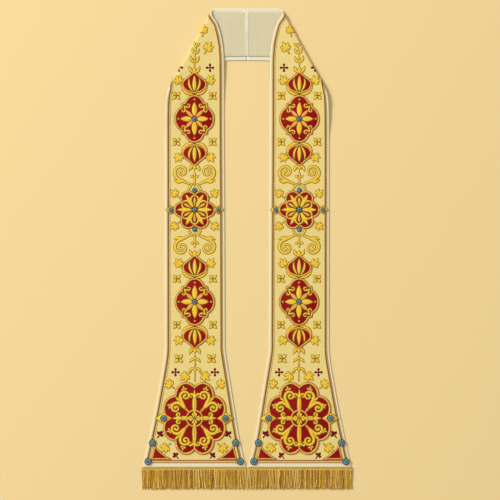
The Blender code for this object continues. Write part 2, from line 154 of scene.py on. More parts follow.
class StoleCut:
    """The cut and the fold of one half: the same named sizes as the solids have.

    INNER and OUTER give how far out the band's edges lie at a drop, OUTER_DROP where a row that
    slants meets the outer edge, LIFT how high the cloth lies over the neck section, and NARROW
    how much less than its full width the inner margin has near the fold.  The NECK tables give
    the neck section's two edges, read from 0 at the roll to NECK_END at the seam.
    """

    LENGTH = 1026.0
    WALL = 2.0
    HALF_SEAM_GAP = 0.03
    HEM = 977.5
    LEVEL_DROP = 470.0

    MARGIN = 4.6
    HEM_MARGIN = 9.2
    NECK_MARGIN = 7.6

    FOLD_ANGLE = math.radians(29.0)
    FOLD_START = Vector((69.8, 2.9))
    ROLL = 3.0
    ROLL_TOP = (11.3, 209.8)
    ROLL_UNDER = (-3.3, 184.2)
    DOWN = Vector((math.sin(FOLD_ANGLE), math.cos(FOLD_ANGLE)))
    OFF = Vector((math.cos(FOLD_ANGLE), -math.sin(FOLD_ANGLE)))

    INNER = Smooth((
        (12.8, 75.3), (20.0, 71.6), (28.6, 65.4), (39.2, 60.9), (56.0, 55.8), (78.0, 51.6),
        (110.0, 49.2), (237.0, 48.8), (408.0, 47.9), (700.0, 46.9), (727.0, 46.6), (748.0, 43.7),
        (791.0, 36.6), (855.0, 26.4), (919.0, 15.8), (HEM, 2.6)))
    OUTER = Smooth((
        (186.4, 171.5), (193.0, 172.6), (205.0, 173.8), (237.0, 174.6), (290.0, 174.8),
        (700.0, 174.8), (727.0, 175.0), (748.0, 176.9), (791.0, 184.2), (855.0, 196.0),
        (919.0, 209.4), (HEM, 222.4)))
    OUTER_DROP = Smooth((
        (12.8, 186.4), (20.0, 193.0), (28.6, 199.0), (39.2, 205.0), (56.0, 211.0), (78.0, 218.0),
        (110.0, 228.0), (136.0, 240.0), (164.0, 254.0), (194.0, 270.0), (226.0, 290.0),
        (262.0, 316.0), (302.0, 346.0), (346.0, 380.0), (394.0, 418.0), (LEVEL_DROP, LEVEL_DROP),
        (HEM, HEM)))
    LIFT = Smooth((
        (12.8, 6.0), (20.0, 5.9), (28.6, 5.6), (39.2, 5.1), (56.0, 4.6), (78.0, 4.1),
        (110.0, 3.8), (136.0, 2.9), (164.0, 1.6), (194.0, 0.5), (226.0, 0.0), (HEM, 0.0)))
    NARROW = Smooth(((12.8, 0.8), (24.0, 0.88), (40.0, 0.96), (60.0, 1.0), (HEM, 1.0)))
    NECK_TOP_OUT = Smooth.even(68.2, 59.6, 51.0, 40.5, 29.8, 20.2, 10.7, 0.15)
    NECK_LOW_OUT = Smooth.even(159.1, 140.6, 121.4, 98.0, 72.4, 49.0, 24.5, 0.15)
    NECK_LOW_DROP = Smooth.even(164.0, 152.6, 140.0, 127.9, 117.2, 111.8, 111.0, 110.6)
    NECK_END = 7.0
    NECK_SPACING = 40.0
    EVEN_OVER = 9.0

    @classmethod
    def fold_point(cls, along: float, beyond: float = 0.0) -> Vector:
        """The point beside the fold at a distance along its axis and a distance beyond it."""
        return cls.FOLD_START + along * cls.DOWN + beyond * cls.OFF

    @classmethod
    def band_row(cls, drop: float) -> Row:
        """The row of the band that meets its inner edge at a drop."""
        outer_drop = max(drop, cls.OUTER_DROP(drop)) if drop < cls.LEVEL_DROP else drop
        inner = Vector((cls.INNER(drop), drop))
        outer = Vector((cls.OUTER(outer_drop), outer_drop))
        return Row(inner, outer, max(0.0, cls.LIFT(drop)) + cls.WALL / 2, UP, inner, outer,
                   narrow=cls.NARROW(drop))

    @classmethod
    def roll_row(cls, share: float) -> Row:
        """The row at a share of the roll, from its top at 0 to its underside at 1.

        Args:
            share: how far round the roll the row lies.

        Returns:
            The row; its flat ends go on past the fold as the unrolled cloth does.
        """
        turn = math.pi * share
        ends = [top + share * (under - top) for top, under in zip(cls.ROLL_TOP, cls.ROLL_UNDER)]
        normal = Vector((cls.OFF.x * math.sin(turn), -cls.OFF.y * math.sin(turn), math.cos(turn)))
        inner, outer = (cls.fold_point(end, cls.ROLL * math.sin(turn)) for end in ends)
        flat_inner, flat_outer = (cls.fold_point(end, cls.ROLL * turn) for end in ends)
        middle = cls.WALL / 2 + cls.ROLL * (1 + math.cos(turn))
        return Row(inner, outer, middle, normal, flat_inner, flat_outer,
                   narrow=cls.NARROW(0.0))

    @classmethod
    def neck_row(cls, index: float) -> Row:
        """The row of the neck section at an index, from the roll at 0 to the seam.

        Args:
            index: the place in the neck's tables, NECK_END at the seam.

        Returns:
            The row; its flat ends are its own mirrored in the fold, the roll's length away.
        """
        inner = Vector((cls.NECK_TOP_OUT(index), 0.0))
        outer = Vector((cls.NECK_LOW_OUT(index), cls.NECK_LOW_DROP(index)))
        flat = [end + cls.OFF * (math.pi * cls.ROLL - 2 * (end - cls.FOLD_START).dot(cls.OFF))
                for end in (inner, outer)]
        return Row(inner, outer, cls.WALL / 2, -UP, *flat,
                   narrow=cls.NARROW(cls.NECK_SPACING * index))

    @classmethod
    def rows(cls, band_drops: Sequence[float], roll_steps: int, neck_steps: int) -> list[Row]:
        """Rows from the hem up, over the roll and to the centre-back seam.

        Args:
            band_drops: where the band's rows meet its inner edge, the hem first.
            roll_steps: how many steps go round the roll.
            neck_steps: how many steps cross the neck section, or 0 to stop short of it.

        Returns:
            The rows, each with its slant to the two edges worked out.
        """
        rows = [cls.band_row(drop) for drop in band_drops]
        rows += [cls.roll_row((step + 1) / roll_steps) for step in range(roll_steps)]
        rows += [cls.neck_row(cls.NECK_END * (step + 1) / neck_steps) for step in range(neck_steps)]
        for index, row in enumerate(rows):
            way = (row.flat_outer - row.flat_inner).normalized()
            row.inner_sine = abs(way.cross(cls._edge_way(rows, index, "flat_inner")))
            row.outer_sine = abs(way.cross(cls._edge_way(rows, index, "flat_outer")))
        return rows

    @classmethod
    def _edge_way(cls, rows: list[Row], index: int, edge: str) -> Vector:
        """The direction of a flat edge at a row, evened over the rows close to it."""
        here = getattr(rows[index], edge)
        low = high = index
        while low > 0 and (getattr(rows[low], edge) - here).length < cls.EVEN_OVER:
            low -= 1
        while high < len(rows) - 1 and (getattr(rows[high], edge) - here).length < cls.EVEN_OVER:
            high += 1
        return (getattr(rows[high], edge) - getattr(rows[low], edge)).normalized()

    @classmethod
    def band_drops(cls, first: float, spacing: float) -> list[float]:
        """Drops from a first one near the hem up to the roll, a spacing apart at most."""
        top = cls.INNER.pairs[0][0]
        count = math.ceil((first - top) / spacing)
        return [first + (top - first) * index / count for index in range(count + 1)]

    @classmethod
    def axis_out(cls, drop: float) -> float:
        """How far out the middle of the band lies at a drop."""
        return (cls.INNER(drop) + cls.OUTER(drop)) / 2

    @classmethod
    def half_width(cls, drop: float) -> float:
        """Half the band's width at a drop."""
        return (cls.OUTER(drop) - cls.INNER(drop)) / 2


class FaceMap:
    """Lays points of the flat cloth on the face of the folded one."""

    FLAT_FROM = 420.0
    SPACING = 3.0

    def __init__(self) -> None:
        """Reads the rows of the part that does not lie level."""
        self.rows = StoleCut.rows(StoleCut.band_drops(self.FLAT_FROM, self.SPACING), 1, 0)[:-1]

    def lift(self, point: Vector) -> float:
        """How high over the floor the middle of the wall lies, read between two rows."""
        if point.y >= self.FLAT_FROM:
            return StoleCut.WALL / 2
        low, high = 0, len(self.rows) - 1
        while high - low > 1:
            middle = (low + high) // 2
            if self._past(self.rows[middle], point) > 0.0:
                high = middle
            else:
                low = middle
        below, above = self._past(self.rows[low], point), self._past(self.rows[high], point)
        share = min(1.0, max(0.0, below / (below - above))) if below != above else 0.0
        return self.rows[low].middle + share * (self.rows[high].middle - self.rows[low].middle)

    def _past(self, row: Row, point: Vector) -> float:
        """How far a point lies on the hem's side of a row, negative on the neck's side."""
        return (row.outer - row.inner).normalized().cross(point - row.inner)

    def place(self, point: Vector, raised: float) -> Vector:
        """Where a point of the flat cloth comes to lie, on the band or round the roll.

        Args:
            point: the place on the cloth, as (out, drop).
            raised: the height over the face.

        Returns:
            The scene point, in millimetres.
        """
        cut = StoleCut
        beyond = (point - cut.FOLD_START).dot(cut.OFF)
        along = (point - cut.FOLD_START).dot(cut.DOWN)
        over = cut.WALL / 2 + raised
        if beyond <= 0.0:
            return Vector((point.x, cut.LENGTH / 2 - point.y, self.lift(point) + over))
        turn = beyond / cut.ROLL
        plan = cut.fold_point(along, (cut.ROLL + over) * math.sin(turn))
        height = cut.WALL / 2 + cut.ROLL + (cut.ROLL + over) * math.cos(turn)
        return Vector((plan.x, cut.LENGTH / 2 - plan.y, height))


FACE = FaceMap()


class Side(Enum):
    """Which half of the stole a piece belongs to, as the viewer sees it."""

    RIGHT = 1
    LEFT = -1

    @property
    def label(self) -> str:
        """The half's name, as the solids' names start with it."""
        return self.name.lower()


def linear(colour: str) -> tuple[float, float, float, float]:
    """Turns an sRGB hex colour to the linear one that the nodes take.

    Args:
        colour: six hex digits, such as 'e8c050'.

    Returns:
        The linear red, green, blue and an alpha of 1.
    """
    values = [int(colour[index:index + 2], 16) / 255 for index in (0, 2, 4)]
    curved = [value / 12.92 if value <= 0.04045 else ((value + 0.055) / 1.055) ** 2.4
              for value in values]
    return curved[0], curved[1], curved[2], 1.0


def add_node(tree: NodeTree, kind: str, settings: dict | None = None,
             inputs: dict | None = None) -> Node:
    """Adds a shader node with its settings, constants and links.

    Args:
        tree: the node tree that takes it.
        kind: the node's type.
        settings: the node's own properties.
        inputs: what each input socket holds: a constant, or the socket that feeds it.

    Returns:
        The new node.
    """
    node = tree.nodes.new(kind)
    for key, value in (settings or {}).items():
        setattr(node, key, value)
    for key, value in (inputs or {}).items():
        if isinstance(value, NodeSocket):
            tree.links.new(value, node.inputs[key])
        else:
            node.inputs[key].default_value = value
    return node


def empty_material(name: str) -> Material:
    """Makes a material whose node tree is empty.

    Args:
        name: the material's name.

    Returns:
        The new material.
    """
    made = bpy.data.materials.new(name)
    made.use_nodes = True
    made.node_tree.nodes.clear()
    return made


class Pattern(Enum):
    """How a finish's threads run over its surface."""

    WOVEN = "woven"
    SATIN = "satin"
    SPLIT_STITCH = "split stitch"
    FILL_STITCH = "fill stitch"
    TWIST = "twist"


@dataclass(frozen=True)
class Finish:
    """A thread or cloth finish: its colour and a darker one, a thread pattern and a lustre.

    Sizes are in millimetres.  'shade' is painted shade down in the grooves between the threads, and
    also the dye's darker patches.
    """

    name: str
    colour: str
    shade: str
    pattern: Pattern
    thread: float
    relief: float
    roughness: float
    gloss: float = 0.5
    sheen: float = 0.0
    cloudy: float = 0.25
    cloud_size: float = 9.0

    FIBRE_IOR = 1.5
    SHEEN_ROUGHNESS = 0.4
    WARP_SHARE = 0.6
    WEFT_COUNT = 0.7
    THREAD_SLANT = 0.8

    def material(self) -> Material:
        """The finish as a material, made once and then shared."""
        if self.name in bpy.data.materials:
            return bpy.data.materials[self.name]
        made = empty_material(self.name)
        tree = made.node_tree
        ridges = self._ridges(tree)
        clouds = self._clouds(tree)
        # The darker colour lies in the threads' grooves as painted shade, and in the dye's slow
        # clouds as real uneven tone.
        blend = add_node(tree, "ShaderNodeMath", {"operation": "MULTIPLY_ADD"},
                         {0: clouds, 1: self.cloudy, 2: ridges})
        ramp = add_node(tree, "ShaderNodeMix", {"data_type": "RGBA"},
                        {"Factor": blend.outputs[0], 6: linear(self.shade), 7: linear(self.colour)})
        bump = add_node(tree, "ShaderNodeBump", None,
                        {"Strength": 1.0, "Distance": self.relief * MM, "Height": ridges})
        shader = add_node(tree, "ShaderNodeBsdfPrincipled", None, {
            "Base Color": ramp.outputs[2], "Roughness": self.roughness, "Metallic": 0.0,
            "IOR": self.FIBRE_IOR, "Specular IOR Level": self.gloss,
            "Sheen Weight": self.sheen, "Sheen Roughness": self.SHEEN_ROUGHNESS,
            "Normal": bump.outputs["Normal"]})
        add_node(tree, "ShaderNodeOutputMaterial", None, {"Surface": shader.outputs["BSDF"]})
        return made

    def _clouds(self, tree: NodeTree) -> NodeSocket:
        """Adds the slow, uneven take-up of the dye, from -0.5 to 0.5."""
        where = add_node(tree, "ShaderNodeTexCoord")
        noise_node = add_node(tree, "ShaderNodeTexNoise", None, {
            "Vector": where.outputs["Object"], "Scale": 1 / (self.cloud_size * MM),
            "Detail": 4.0, "Roughness": 0.6})
        centred = add_node(tree, "ShaderNodeMath", {"operation": "SUBTRACT"},
                           {0: noise_node.outputs[0], 1: 0.5})
        return centred.outputs[0]

    def _ridges(self, tree: NodeTree) -> NodeSocket:
        """Adds the thread pattern as a height from 0 to 1, read from the piece's own UV map."""
        where = add_node(tree, "ShaderNodeUVMap", {"uv_map": Work.THREAD_MAP})
        parts = add_node(tree, "ShaderNodeSeparateXYZ", None, {0: where.outputs["UV"]})
        along, across = parts.outputs["X"], parts.outputs["Y"]
        turns = 1 / (self.thread * MM)
        if self.pattern is Pattern.WOVEN:
            weft = add_node(tree, "ShaderNodeMath", {"operation": "MULTIPLY"},
                            {0: self._wave(tree, along, turns * self.WEFT_COUNT),
                             1: 1.0 - self.WARP_SHARE})
            woven = add_node(tree, "ShaderNodeMath", {"operation": "MULTIPLY_ADD"},
                             {0: self._wave(tree, across, turns), 1: self.WARP_SHARE,
                              2: weft.outputs[0]})
            return woven.outputs[0]
        if self.pattern is Pattern.SATIN:
            return self._wave(tree, across, turns)
        if self.pattern is Pattern.FILL_STITCH:
            return self._wave(tree, along, turns)
        slanted = across
        if self.pattern is Pattern.SPLIT_STITCH:
            slanted = add_node(tree, "ShaderNodeMath", {"operation": "ABSOLUTE"},
                               {0: across}).outputs[0]
        lean = add_node(tree, "ShaderNodeMath", {"operation": "MULTIPLY_ADD"},
                        {0: slanted, 1: self.THREAD_SLANT, 2: along})
        return self._wave(tree, lean.outputs[0], turns)

    def _wave(self, tree: NodeTree, distance: NodeSocket, turns: float) -> NodeSocket:
        """Adds a wave from 0 to 1 along a distance, which repeats so many times in a metre."""
        angle = add_node(tree, "ShaderNodeMath", {"operation": "MULTIPLY"},
                         {0: distance, 1: turns * math.tau})
        sine = add_node(tree, "ShaderNodeMath", {"operation": "SINE"}, {0: angle.outputs[0]})
        wave = add_node(tree, "ShaderNodeMath", {"operation": "MULTIPLY_ADD"},
                        {0: sine.outputs[0], 1: 0.5, 2: 0.5})
        return wave.outputs[0]


# Silk damask, woven and matt: its fine ribs show as a faint mottle, with hardly any gloss.  Its
# threads are drawn several times as coarse as real ones, or they wouldn't show.
SILK_GROUND = Finish("cream_silk_damask", "f3dc90", "dcc06a", Pattern.WOVEN, 1.1, 0.05, 0.62,
                     0.3, 0.1)
# Duchesse satin, long floats of silk: a smooth pale surface with a soft gloss.
MARGIN_SATIN = Finish("ivory_duchesse_satin", "efe1bb", "e6d6a9", Pattern.SATIN, 0.5, 0.008, 0.42)
# Acetate lining satin, woven fine: smooth and flat, with a low broad gloss.
LINING_SATIN = Finish("beige_lining_satin", "dacfa8", "cfc299", Pattern.SATIN, 0.5, 0.008,
                      0.44, 0.4, 0.0, 0.6, 40.0)
# The satin round the lining: paler than the lining.  Over the pressed seam the same paler colour is
# a painted highlight along the ridge.
NECK_EDGE_AND_SEAM_HIGHLIGHT_SATIN = Finish("ivory_neck_satin", "e9e4c9", "e0d9bb", Pattern.SATIN, 0.5, 0.008, 0.4)
# Rayon embroidery thread laid in satin stitch: glossy ridges that lean off the midrib.
GOLD_THREAD = Finish("gold_rayon_stitch", "ffdc28", "e8ac14", Pattern.SPLIT_STITCH, 0.9, 0.14,
                     0.38, 0.45)
DEEP_RED_THREAD = Finish("deep_red_stitch", "86000c", "5c0006", Pattern.SPLIT_STITCH, 0.9, 0.12,
                         0.6, 0.12)
# The same thread laid flat in rows, as a filling: matt, because its floats are short.
RED_THREAD = Finish("crimson_rayon_fill", "a6040c", "800406", Pattern.FILL_STITCH, 0.9, 0.1,
                    0.6, 0.12)
# Twisted rayon couched down as an outline: its plies show as a fine slanting grain.
PEACH_THREAD = Finish("peach_gold_cord", "ffc858", "d08a2c", Pattern.TWIST, 1.5, 0.22, 0.4, 0.4)
OLIVE_THREAD = Finish("olive_brown_outline", "96781c", "5c450c", Pattern.TWIST, 1.1, 0.15, 0.6,
                      0.2)
# Twisted furnishing cord of rayon over cotton: plies that catch the light in turn, with painted
# shade in the grooves between them.
TAN_CORD = Finish("tan_gold_twisted_cord", "d8ac58", "9a7430", Pattern.TWIST, 2.4, 0.2, 0.42)
BROWN_CORD = Finish("olive_brown_twisted_cord", "a5762c", "6a4612", Pattern.TWIST, 2.0, 0.2,
                    0.6, 0.2)
LIGHT_CORD = Finish("light_gold_twisted_cord", "ffe192", "e2b25a", Pattern.TWIST, 2.2, 0.2, 0.42)
HEM_RED_CORD = Finish("dull_red_twisted_cord", "b8402a", "84281a", Pattern.TWIST, 2.0, 0.2, 0.5)
# Bullion of metallic rayon, plied tight: old gold, with lighter and browner strands among it.
FRINGE_GOLD = Finish("old_gold_bullion", "f4be24", "ac7608", Pattern.TWIST, 2.2, 0.2, 0.4)
LIGHT_BULLION = Finish("light_gold_bullion", "ffe27a", "d6a638", Pattern.TWIST, 2.2, 0.2, 0.36)
BROWN_BULLION = Finish("brown_gold_bullion", "c68c1c", "865a0a", Pattern.TWIST, 2.2, 0.2, 0.46)
FRINGE_GOLDS = (FRINGE_GOLD, LIGHT_BULLION, BROWN_BULLION)
# Cotton cord round the stones, dull and dark outside, paler against the glass.
RING_CORD = Finish("slate_couching_cord", "4c4c3a", "22221a", Pattern.TWIST, 1.6, 0.15, 0.6, 0.2)
BEZEL_CORD = Finish("grey_couching_cord", "c2c6ac", "7c8268", Pattern.TWIST, 1.4, 0.15, 0.5, 0.3)


@dataclass(frozen=True)
class CutGlass:
    """Pressed and foiled glass: each facet mirrors another part of the room, and painted highlights
    and painted shade lie in its colour.
    """

    name: str
    # The colour is the painted highlight and the depth the painted shade; small cells mix them.
    colour: str
    depth: str
    roughness: float = 0.2
    coat: float = 0.15
    glint_cell_size: float = 2.4

    GLASS_IOR = 1.52
    COAT_ROUGHNESS = 0.03

    def material(self) -> Material:
        """The glass as a material, made once and then shared."""
        if self.name in bpy.data.materials:
            return bpy.data.materials[self.name]
        made = empty_material(self.name)
        tree = made.node_tree
        where = add_node(tree, "ShaderNodeTexCoord")
        # Painted highlights and painted shade: each cell runs from navy at its middle to teal at
        # its rim, standing in for facets that catch the light.
        glint_cells = add_node(tree, "ShaderNodeTexVoronoi", None,
                         {"Vector": where.outputs["Object"], "Scale": 1 / (self.glint_cell_size * MM)})
        glint_and_shade_tint = add_node(tree, "ShaderNodeMix", {"data_type": "RGBA"},
                        {"Factor": glint_cells.outputs["Distance"], 6: linear(self.depth),
                         7: linear(self.colour)})
        shader = add_node(tree, "ShaderNodeBsdfPrincipled", None, {
            "Base Color": glint_and_shade_tint.outputs[2], "Roughness": self.roughness,
            "IOR": self.GLASS_IOR, "Metallic": 0.0, "Coat Weight": self.coat,
            "Coat Roughness": self.COAT_ROUGHNESS})
        add_node(tree, "ShaderNodeOutputMaterial", None, {"Surface": shader.outputs["BSDF"]})
        return made


# Pressed glass over blue foil: teal as a painted highlight where a facet catches the light, navy as
# painted shade in its depth.
STONE_GLASS = CutGlass("teal_foiled_glass", "4f8fae", "0c3358")


class Work:
    """A piece in the making: lofted grids are added to one mesh, which is then handed out."""

    THREAD_MAP = "Thread"

    def __init__(self) -> None:
        """Starts with an empty mesh and its thread map."""
        self.bm = bmesh.new()
        self.thread = self.bm.loops.layers.uv.new(self.THREAD_MAP)
        self.finishes: list[Finish | CutGlass] = []

    def slot(self, finish: Finish | CutGlass) -> int:
        """The material slot of a finish, added if it is new."""
        if finish not in self.finishes:
            self.finishes.append(finish)
        return self.finishes.index(finish)

    def loft(self, rows: int, columns: int, place: Callable[[int, int], Vector],
             thread: Callable[[int, int], Pair],
             finish: Finish | CutGlass | Callable[[int, int], Finish],
             smooth: bool = True, capped: bool = False) -> None:
        """Adds a grid, moves its points into place and merges the ones that meet.

        Args:
            rows: how many rows of points it has.
            columns: how many points a row has; the last may meet the first, in a ring.
            place: gives the point of a row and column, in millimetres.
            thread: gives its thread coordinates, along and across, in millimetres.
            finish: what its faces are made of, or what gives it for a row and column.
            smooth: whether its faces are shaded smooth.
            capped: whether its open ends are filled.
        """
        small = bmesh.new()
        layer = small.loops.layers.uv.new(self.THREAD_MAP)
        made = bmesh.ops.create_grid(small, x_segments=columns - 1, y_segments=rows - 1,
                                     size=0.5)["verts"]
        for number, vert in enumerate(made):
            row, column = divmod(number, columns)
            vert.co = place(row, column) * MM
            along, across = thread(row, column)
            for loop in vert.link_loops:
                loop[layer].uv = (along * MM, across * MM)
        one_slot = None if callable(finish) else self.slot(finish)
        for number, face in enumerate(small.faces):
            face.smooth = smooth
            face.material_index = self.slot(finish(*divmod(number, columns - 1))) \
                if one_slot is None else one_slot
        bmesh.ops.remove_doubles(small, verts=small.verts, dist=1e-7)
        if capped:
            rim = [edge for edge in small.edges if edge.is_boundary]
            bmesh.ops.holes_fill(small, edges=rim, sides=0)
        self.join(small)

    def join(self, small: bmesh.types.BMesh) -> None:
        """Adds a finished small mesh to the piece and frees it."""
        bmesh.ops.recalc_face_normals(small, faces=small.faces)
        carrier = bpy.data.meshes.new("carrier")
        small.to_mesh(carrier)
        small.free()
        self.bm.from_mesh(carrier)
        bpy.data.meshes.remove(carrier)

    def issue(self, name: str, side: Side, slot: str,
              replaced: Sequence[str] = ()) -> Object:
        """Hands out the piece for one half; the left half's is a mirrored copy.

        Args:
            name: the piece's name, without its half.
            side: which half it is for.
            slot: not used.
            replaced: the nodes that it stands for, without their half.

        Returns:
            The finished object, riding on the stole's one body.
        """
        bm = self.bm.copy()
        if side is Side.LEFT:
            bmesh.ops.scale(bm, vec=(-1.0, 1.0, 1.0), verts=bm.verts)
            bmesh.ops.reverse_faces(bm, faces=bm.faces)
        mesh = bpy.data.meshes.new(f"{side.label}_{name}")
        bm.to_mesh(mesh)
        bm.free()
        for finish in self.finishes:
            mesh.materials.append(finish.material())
        piece = bpy.data.objects.new(mesh.name, mesh)
        bpy.context.scene.collection.objects.link(piece)
        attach(piece, BODY)
        if replaced:
            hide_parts(*[f"{side.label}_{node}" for node in replaced])
        LOG.info("%s: %d faces", piece.name, len(mesh.polygons))
        return piece


def beneath(ring: int, last: int) -> int:
    """The column over or under which a shell's ring runs: over the face, then back beneath."""
    return ring if ring <= last else 2 * last - ring


@dataclass
class Panel:
    """One half's cloth: face and lining as one thin shell, its margin turned and pressed."""

    spacing: float = 4.0
    roll_steps: int = 14
    neck_steps: int = 44
    between: int = 24
    insets: tuple[float, ...] = (0.0, 0.25, 0.8, 1.8, 3.2, 4.3, 4.6, 5.6, 7.6, 9.4, 11.8)
    thickness: Smooth = Smooth(((0.0, 0.0), (0.25, 0.62), (0.8, 0.9), (1.8, 1.02), (3.2, 1.04),
                                (4.3, 0.97), (4.6, 0.86), (5.6, 0.96), (7.6, 1.0)))
    pucker: float = 0.05
    pucker_size: Pair = (17.0, 23.0)
    pucker_from: float = 1.0
    edge_slack: float = 0.05
    flat_size: Pair = (0.22, 1.04)
    flat_area: float = 0.138

    def rows(self) -> list[Row]:
        """The shell's rows, with the hem's turned margin first."""
        wider = StoleCut.HEM_MARGIN / StoleCut.MARGIN
        hem = [StoleCut.HEM - inset * wider for inset in self.insets]
        return StoleCut.rows(hem[:-1] + StoleCut.band_drops(hem[-1], self.spacing),
                             self.roll_steps, self.neck_steps)

    def columns(self) -> list[tuple[str, float]]:
        """The shell's columns from the inner edge to the outer one."""
        return ([("inner", inset) for inset in self.insets]
                + [("between", step / self.between) for step in range(1, self.between)]
                + [("outer", inset) for inset in reversed(self.insets)])

    def build(self, side: Side) -> Object:
        """Builds one half's shell.

        Args:
            side: which half it is for.

        Returns:
            The finished cloth, a folded sheet.
        """
        work = Work()
        rows = self.rows()
        columns = self.columns()
        guard = self.insets[-1]
        shares = [[row.share(column, guard) for column in columns] for row in rows]
        last = len(columns) - 1

        def inset(row: int, column: int) -> float:
            """How far a point of the grid lies from the nearest edge, the hem's margin scaled."""
            length = (rows[row].outer - rows[row].inner).length
            share = shares[row][column]
            from_sides = min(share * rows[row].inner_sine / rows[row].narrow,
                             (1 - share) * rows[row].outer_sine) * length
            from_hem = abs(rows[row].flat(share).y - StoleCut.HEM)
            return max(0.0, min(from_sides, from_hem * StoleCut.MARGIN / StoleCut.HEM_MARGIN))

        def place(row: int, ring: int) -> Vector:
            """The point of the shell: over the face first, then back over the lining."""
            face_side = ring <= last
            column = beneath(ring, last)
            share = shares[row][column]
            deep = inset(row, column)
            half = self.thickness(deep)
            if face_side and deep > self.pucker_from:
                spot = rows[row].flat(share)
                wide, long = self.pucker_size
                half += self.pucker * noise.noise(Vector((spot.x / wide, spot.y / long,
                                                          5.0 * side.value)))
            if rows[row].normal.z < 0.0:
                half = min(half, rows[row].middle / -rows[row].normal.z)
            point = rows[row].place(share, half if face_side else -min(half, StoleCut.WALL / 2))
            if row == len(rows) - 1:
                point.x = StoleCut.HALF_SEAM_GAP
            return point

        def thread(row: int, ring: int) -> Pair:
            """The point's place in the flat cloth."""
            flat = rows[row].flat(shares[row][beneath(ring, last)])
            return flat.y, flat.x

        def finish(row: int, ring: int) -> Finish:
            """The turned margin's satin, the ground's silk, or the lining."""
            face_side = ring < last
            column = ring if face_side else 2 * last - ring - 1
            depth = self.edge_slack + min(inset(at_row, at_column) for at_row in (row, row + 1)
                                          for at_column in (column, column + 1))
            if rows[row].normal.z < 0.0 and depth < StoleCut.NECK_MARGIN:
                return NECK_EDGE_AND_SEAM_HIGHLIGHT_SATIN
            if depth < StoleCut.MARGIN:
                return MARGIN_SATIN
            return SILK_GROUND if face_side else LINING_SATIN

        work.loft(len(rows), 2 * last + 1, place, thread, finish, capped=True)
        piece = work.issue("panel_cloth", side, "ground_satin", ["panel"])
        return piece


@dataclass
class NeckLining:
    """The lining that lies uppermost on the neck section, with its seam ridge and tack."""

    thickness: float = 0.9
    seat: float = 0.12
    rise_over: float = 2.5
    soft_over: float = 6.0
    start_drop: float = 14.0
    creases: tuple[tuple[float, float, float, float], ...] = ((0.22, 46.0, 13.0, 3.0),
                                                              (0.16, 12.0, 60.0, 7.0))
    ridge_half: Smooth = Smooth(((8.0, 2.6), (20.0, 3.4), (28.0, 4.6), (40.0, 3.8), (60.0, 3.0),
                                 (105.0, 2.6)))
    ridge_rise: float = 0.8
    # The share of the ridge's half width that takes the painted highlight.
    ridge_highlight: float = 0.8
    steps: int = 90
    columns: int = 54
    tack_drop: float = 6.4
    tack_size: tuple[float, float, float] = (8.6, 2.9, 0.9)
    flat_size: Pair = (0.123, 0.207)
    flat_area: float = 0.0114

    def build(self, side: Side) -> Object:
        """Builds one half's lining.

        Args:
            side: which half it is for.

        Returns:
            The finished lining, a sheet laid on the panel.
        """
        work = Work()
        rows = StoleCut.rows([self.start_drop], 1, self.steps)[1:]
        seam = rows[-1].place(0.0, 0.0).x
        last = self.columns

        def thick(row: Row, share: float) -> float:
            """How thick the lining is at a share of a row, its ridge and creases counted."""
            start, stop = self._reach(row)
            spot = row.place(start + (stop - start) * share, 0.0)
            edge = min(share, 1 - share) * (stop - start) * (row.outer - row.inner).length
            body = self.thickness * min(1.0, (edge / self.rise_over) ** 0.5)
            from_seam = abs(spot.x - seam)
            half = self.ridge_half(StoleCut.LENGTH / 2 - spot.y)
            ridge = self.ridge_rise * max(0.0, 1 - (from_seam / half) ** 2) ** 0.7
            crease = sum(deep * noise.noise(Vector((spot.x / wide, spot.y / long,
                                                    side.value * seed)))
                         for deep, wide, long, seed in self.creases)
            return body + min(1.0, edge / self.soft_over) * (ridge + crease)

        def place(index: int, ring: int) -> Vector:
            """The lining's point: over its face, then back beneath it."""
            share = beneath(ring, last) / last
            row = rows[index]
            start, stop = self._reach(row)
            high = max(0.0, thick(row, share)) if ring <= last else 0.0
            point = row.place(start + (stop - start) * share,
                              -StoleCut.WALL / 2 - self.seat - high)
            if index == len(rows) - 1:
                point.x = StoleCut.HALF_SEAM_GAP
            return point

        def thread(index: int, ring: int) -> Pair:
            """The point's place in the flat cloth."""
            flat = rows[index].flat(beneath(ring, last) / last)
            return flat.x, flat.y

        def finish(index: int, ring: int) -> Finish:
            """A painted highlight of paler satin over the seam's allowances, along its ridge, or
            the lining.
            """
            spot = rows[index].place(beneath(ring, last) / last, 0.0)
            half = self.ridge_half(StoleCut.LENGTH / 2 - spot.y)
            # Painted highlight: the middle of the seam ridge takes the paler satin.
            return NECK_EDGE_AND_SEAM_HIGHLIGHT_SATIN if abs(spot.x - seam) < half * self.ridge_highlight else LINING_SATIN

        work.loft(len(rows), 2 * last + 1, place, thread, finish, capped=True)
        piece = work.issue("neck_lining_cloth", side, "neck_lining", ["neck_lining"])
        return piece

    def _reach(self, row: Row) -> Pair:
        """The shares of a row between which the lining shows, inside the neck's level edge."""
        margin = StoleCut.NECK_MARGIN
        return (margin * row.narrow / (row.outer.y - row.inner.y),
                row.share(("outer", margin)))

    def build_tack(self) -> Object:
        """Builds the padded tack of satin that holds the seam at its top."""
        work = Work()
        long, deep, high = self.tack_size
        rows, ring = 9, 28

        def place(row: int, column: int) -> Vector:
            """The point of the dome, its first row the rim on the cloth."""
            lean = math.pi / 2 * row / (rows - 1)
            turn = math.tau * column / ring
            return Vector((long * math.cos(lean) * math.cos(turn),
                           StoleCut.LENGTH / 2 - self.tack_drop
                           + deep * math.cos(lean) * math.sin(turn),
                           StoleCut.WALL + 0.02 + high * math.sin(lean)))

        work.loft(rows, ring + 1, place, lambda row, column: (row * 0.4, column * 1.0),
                  NECK_EDGE_AND_SEAM_HIGHLIGHT_SATIN, capped=True)
        return work.issue("neck_seam_tack", Side.RIGHT, "neck_lining")


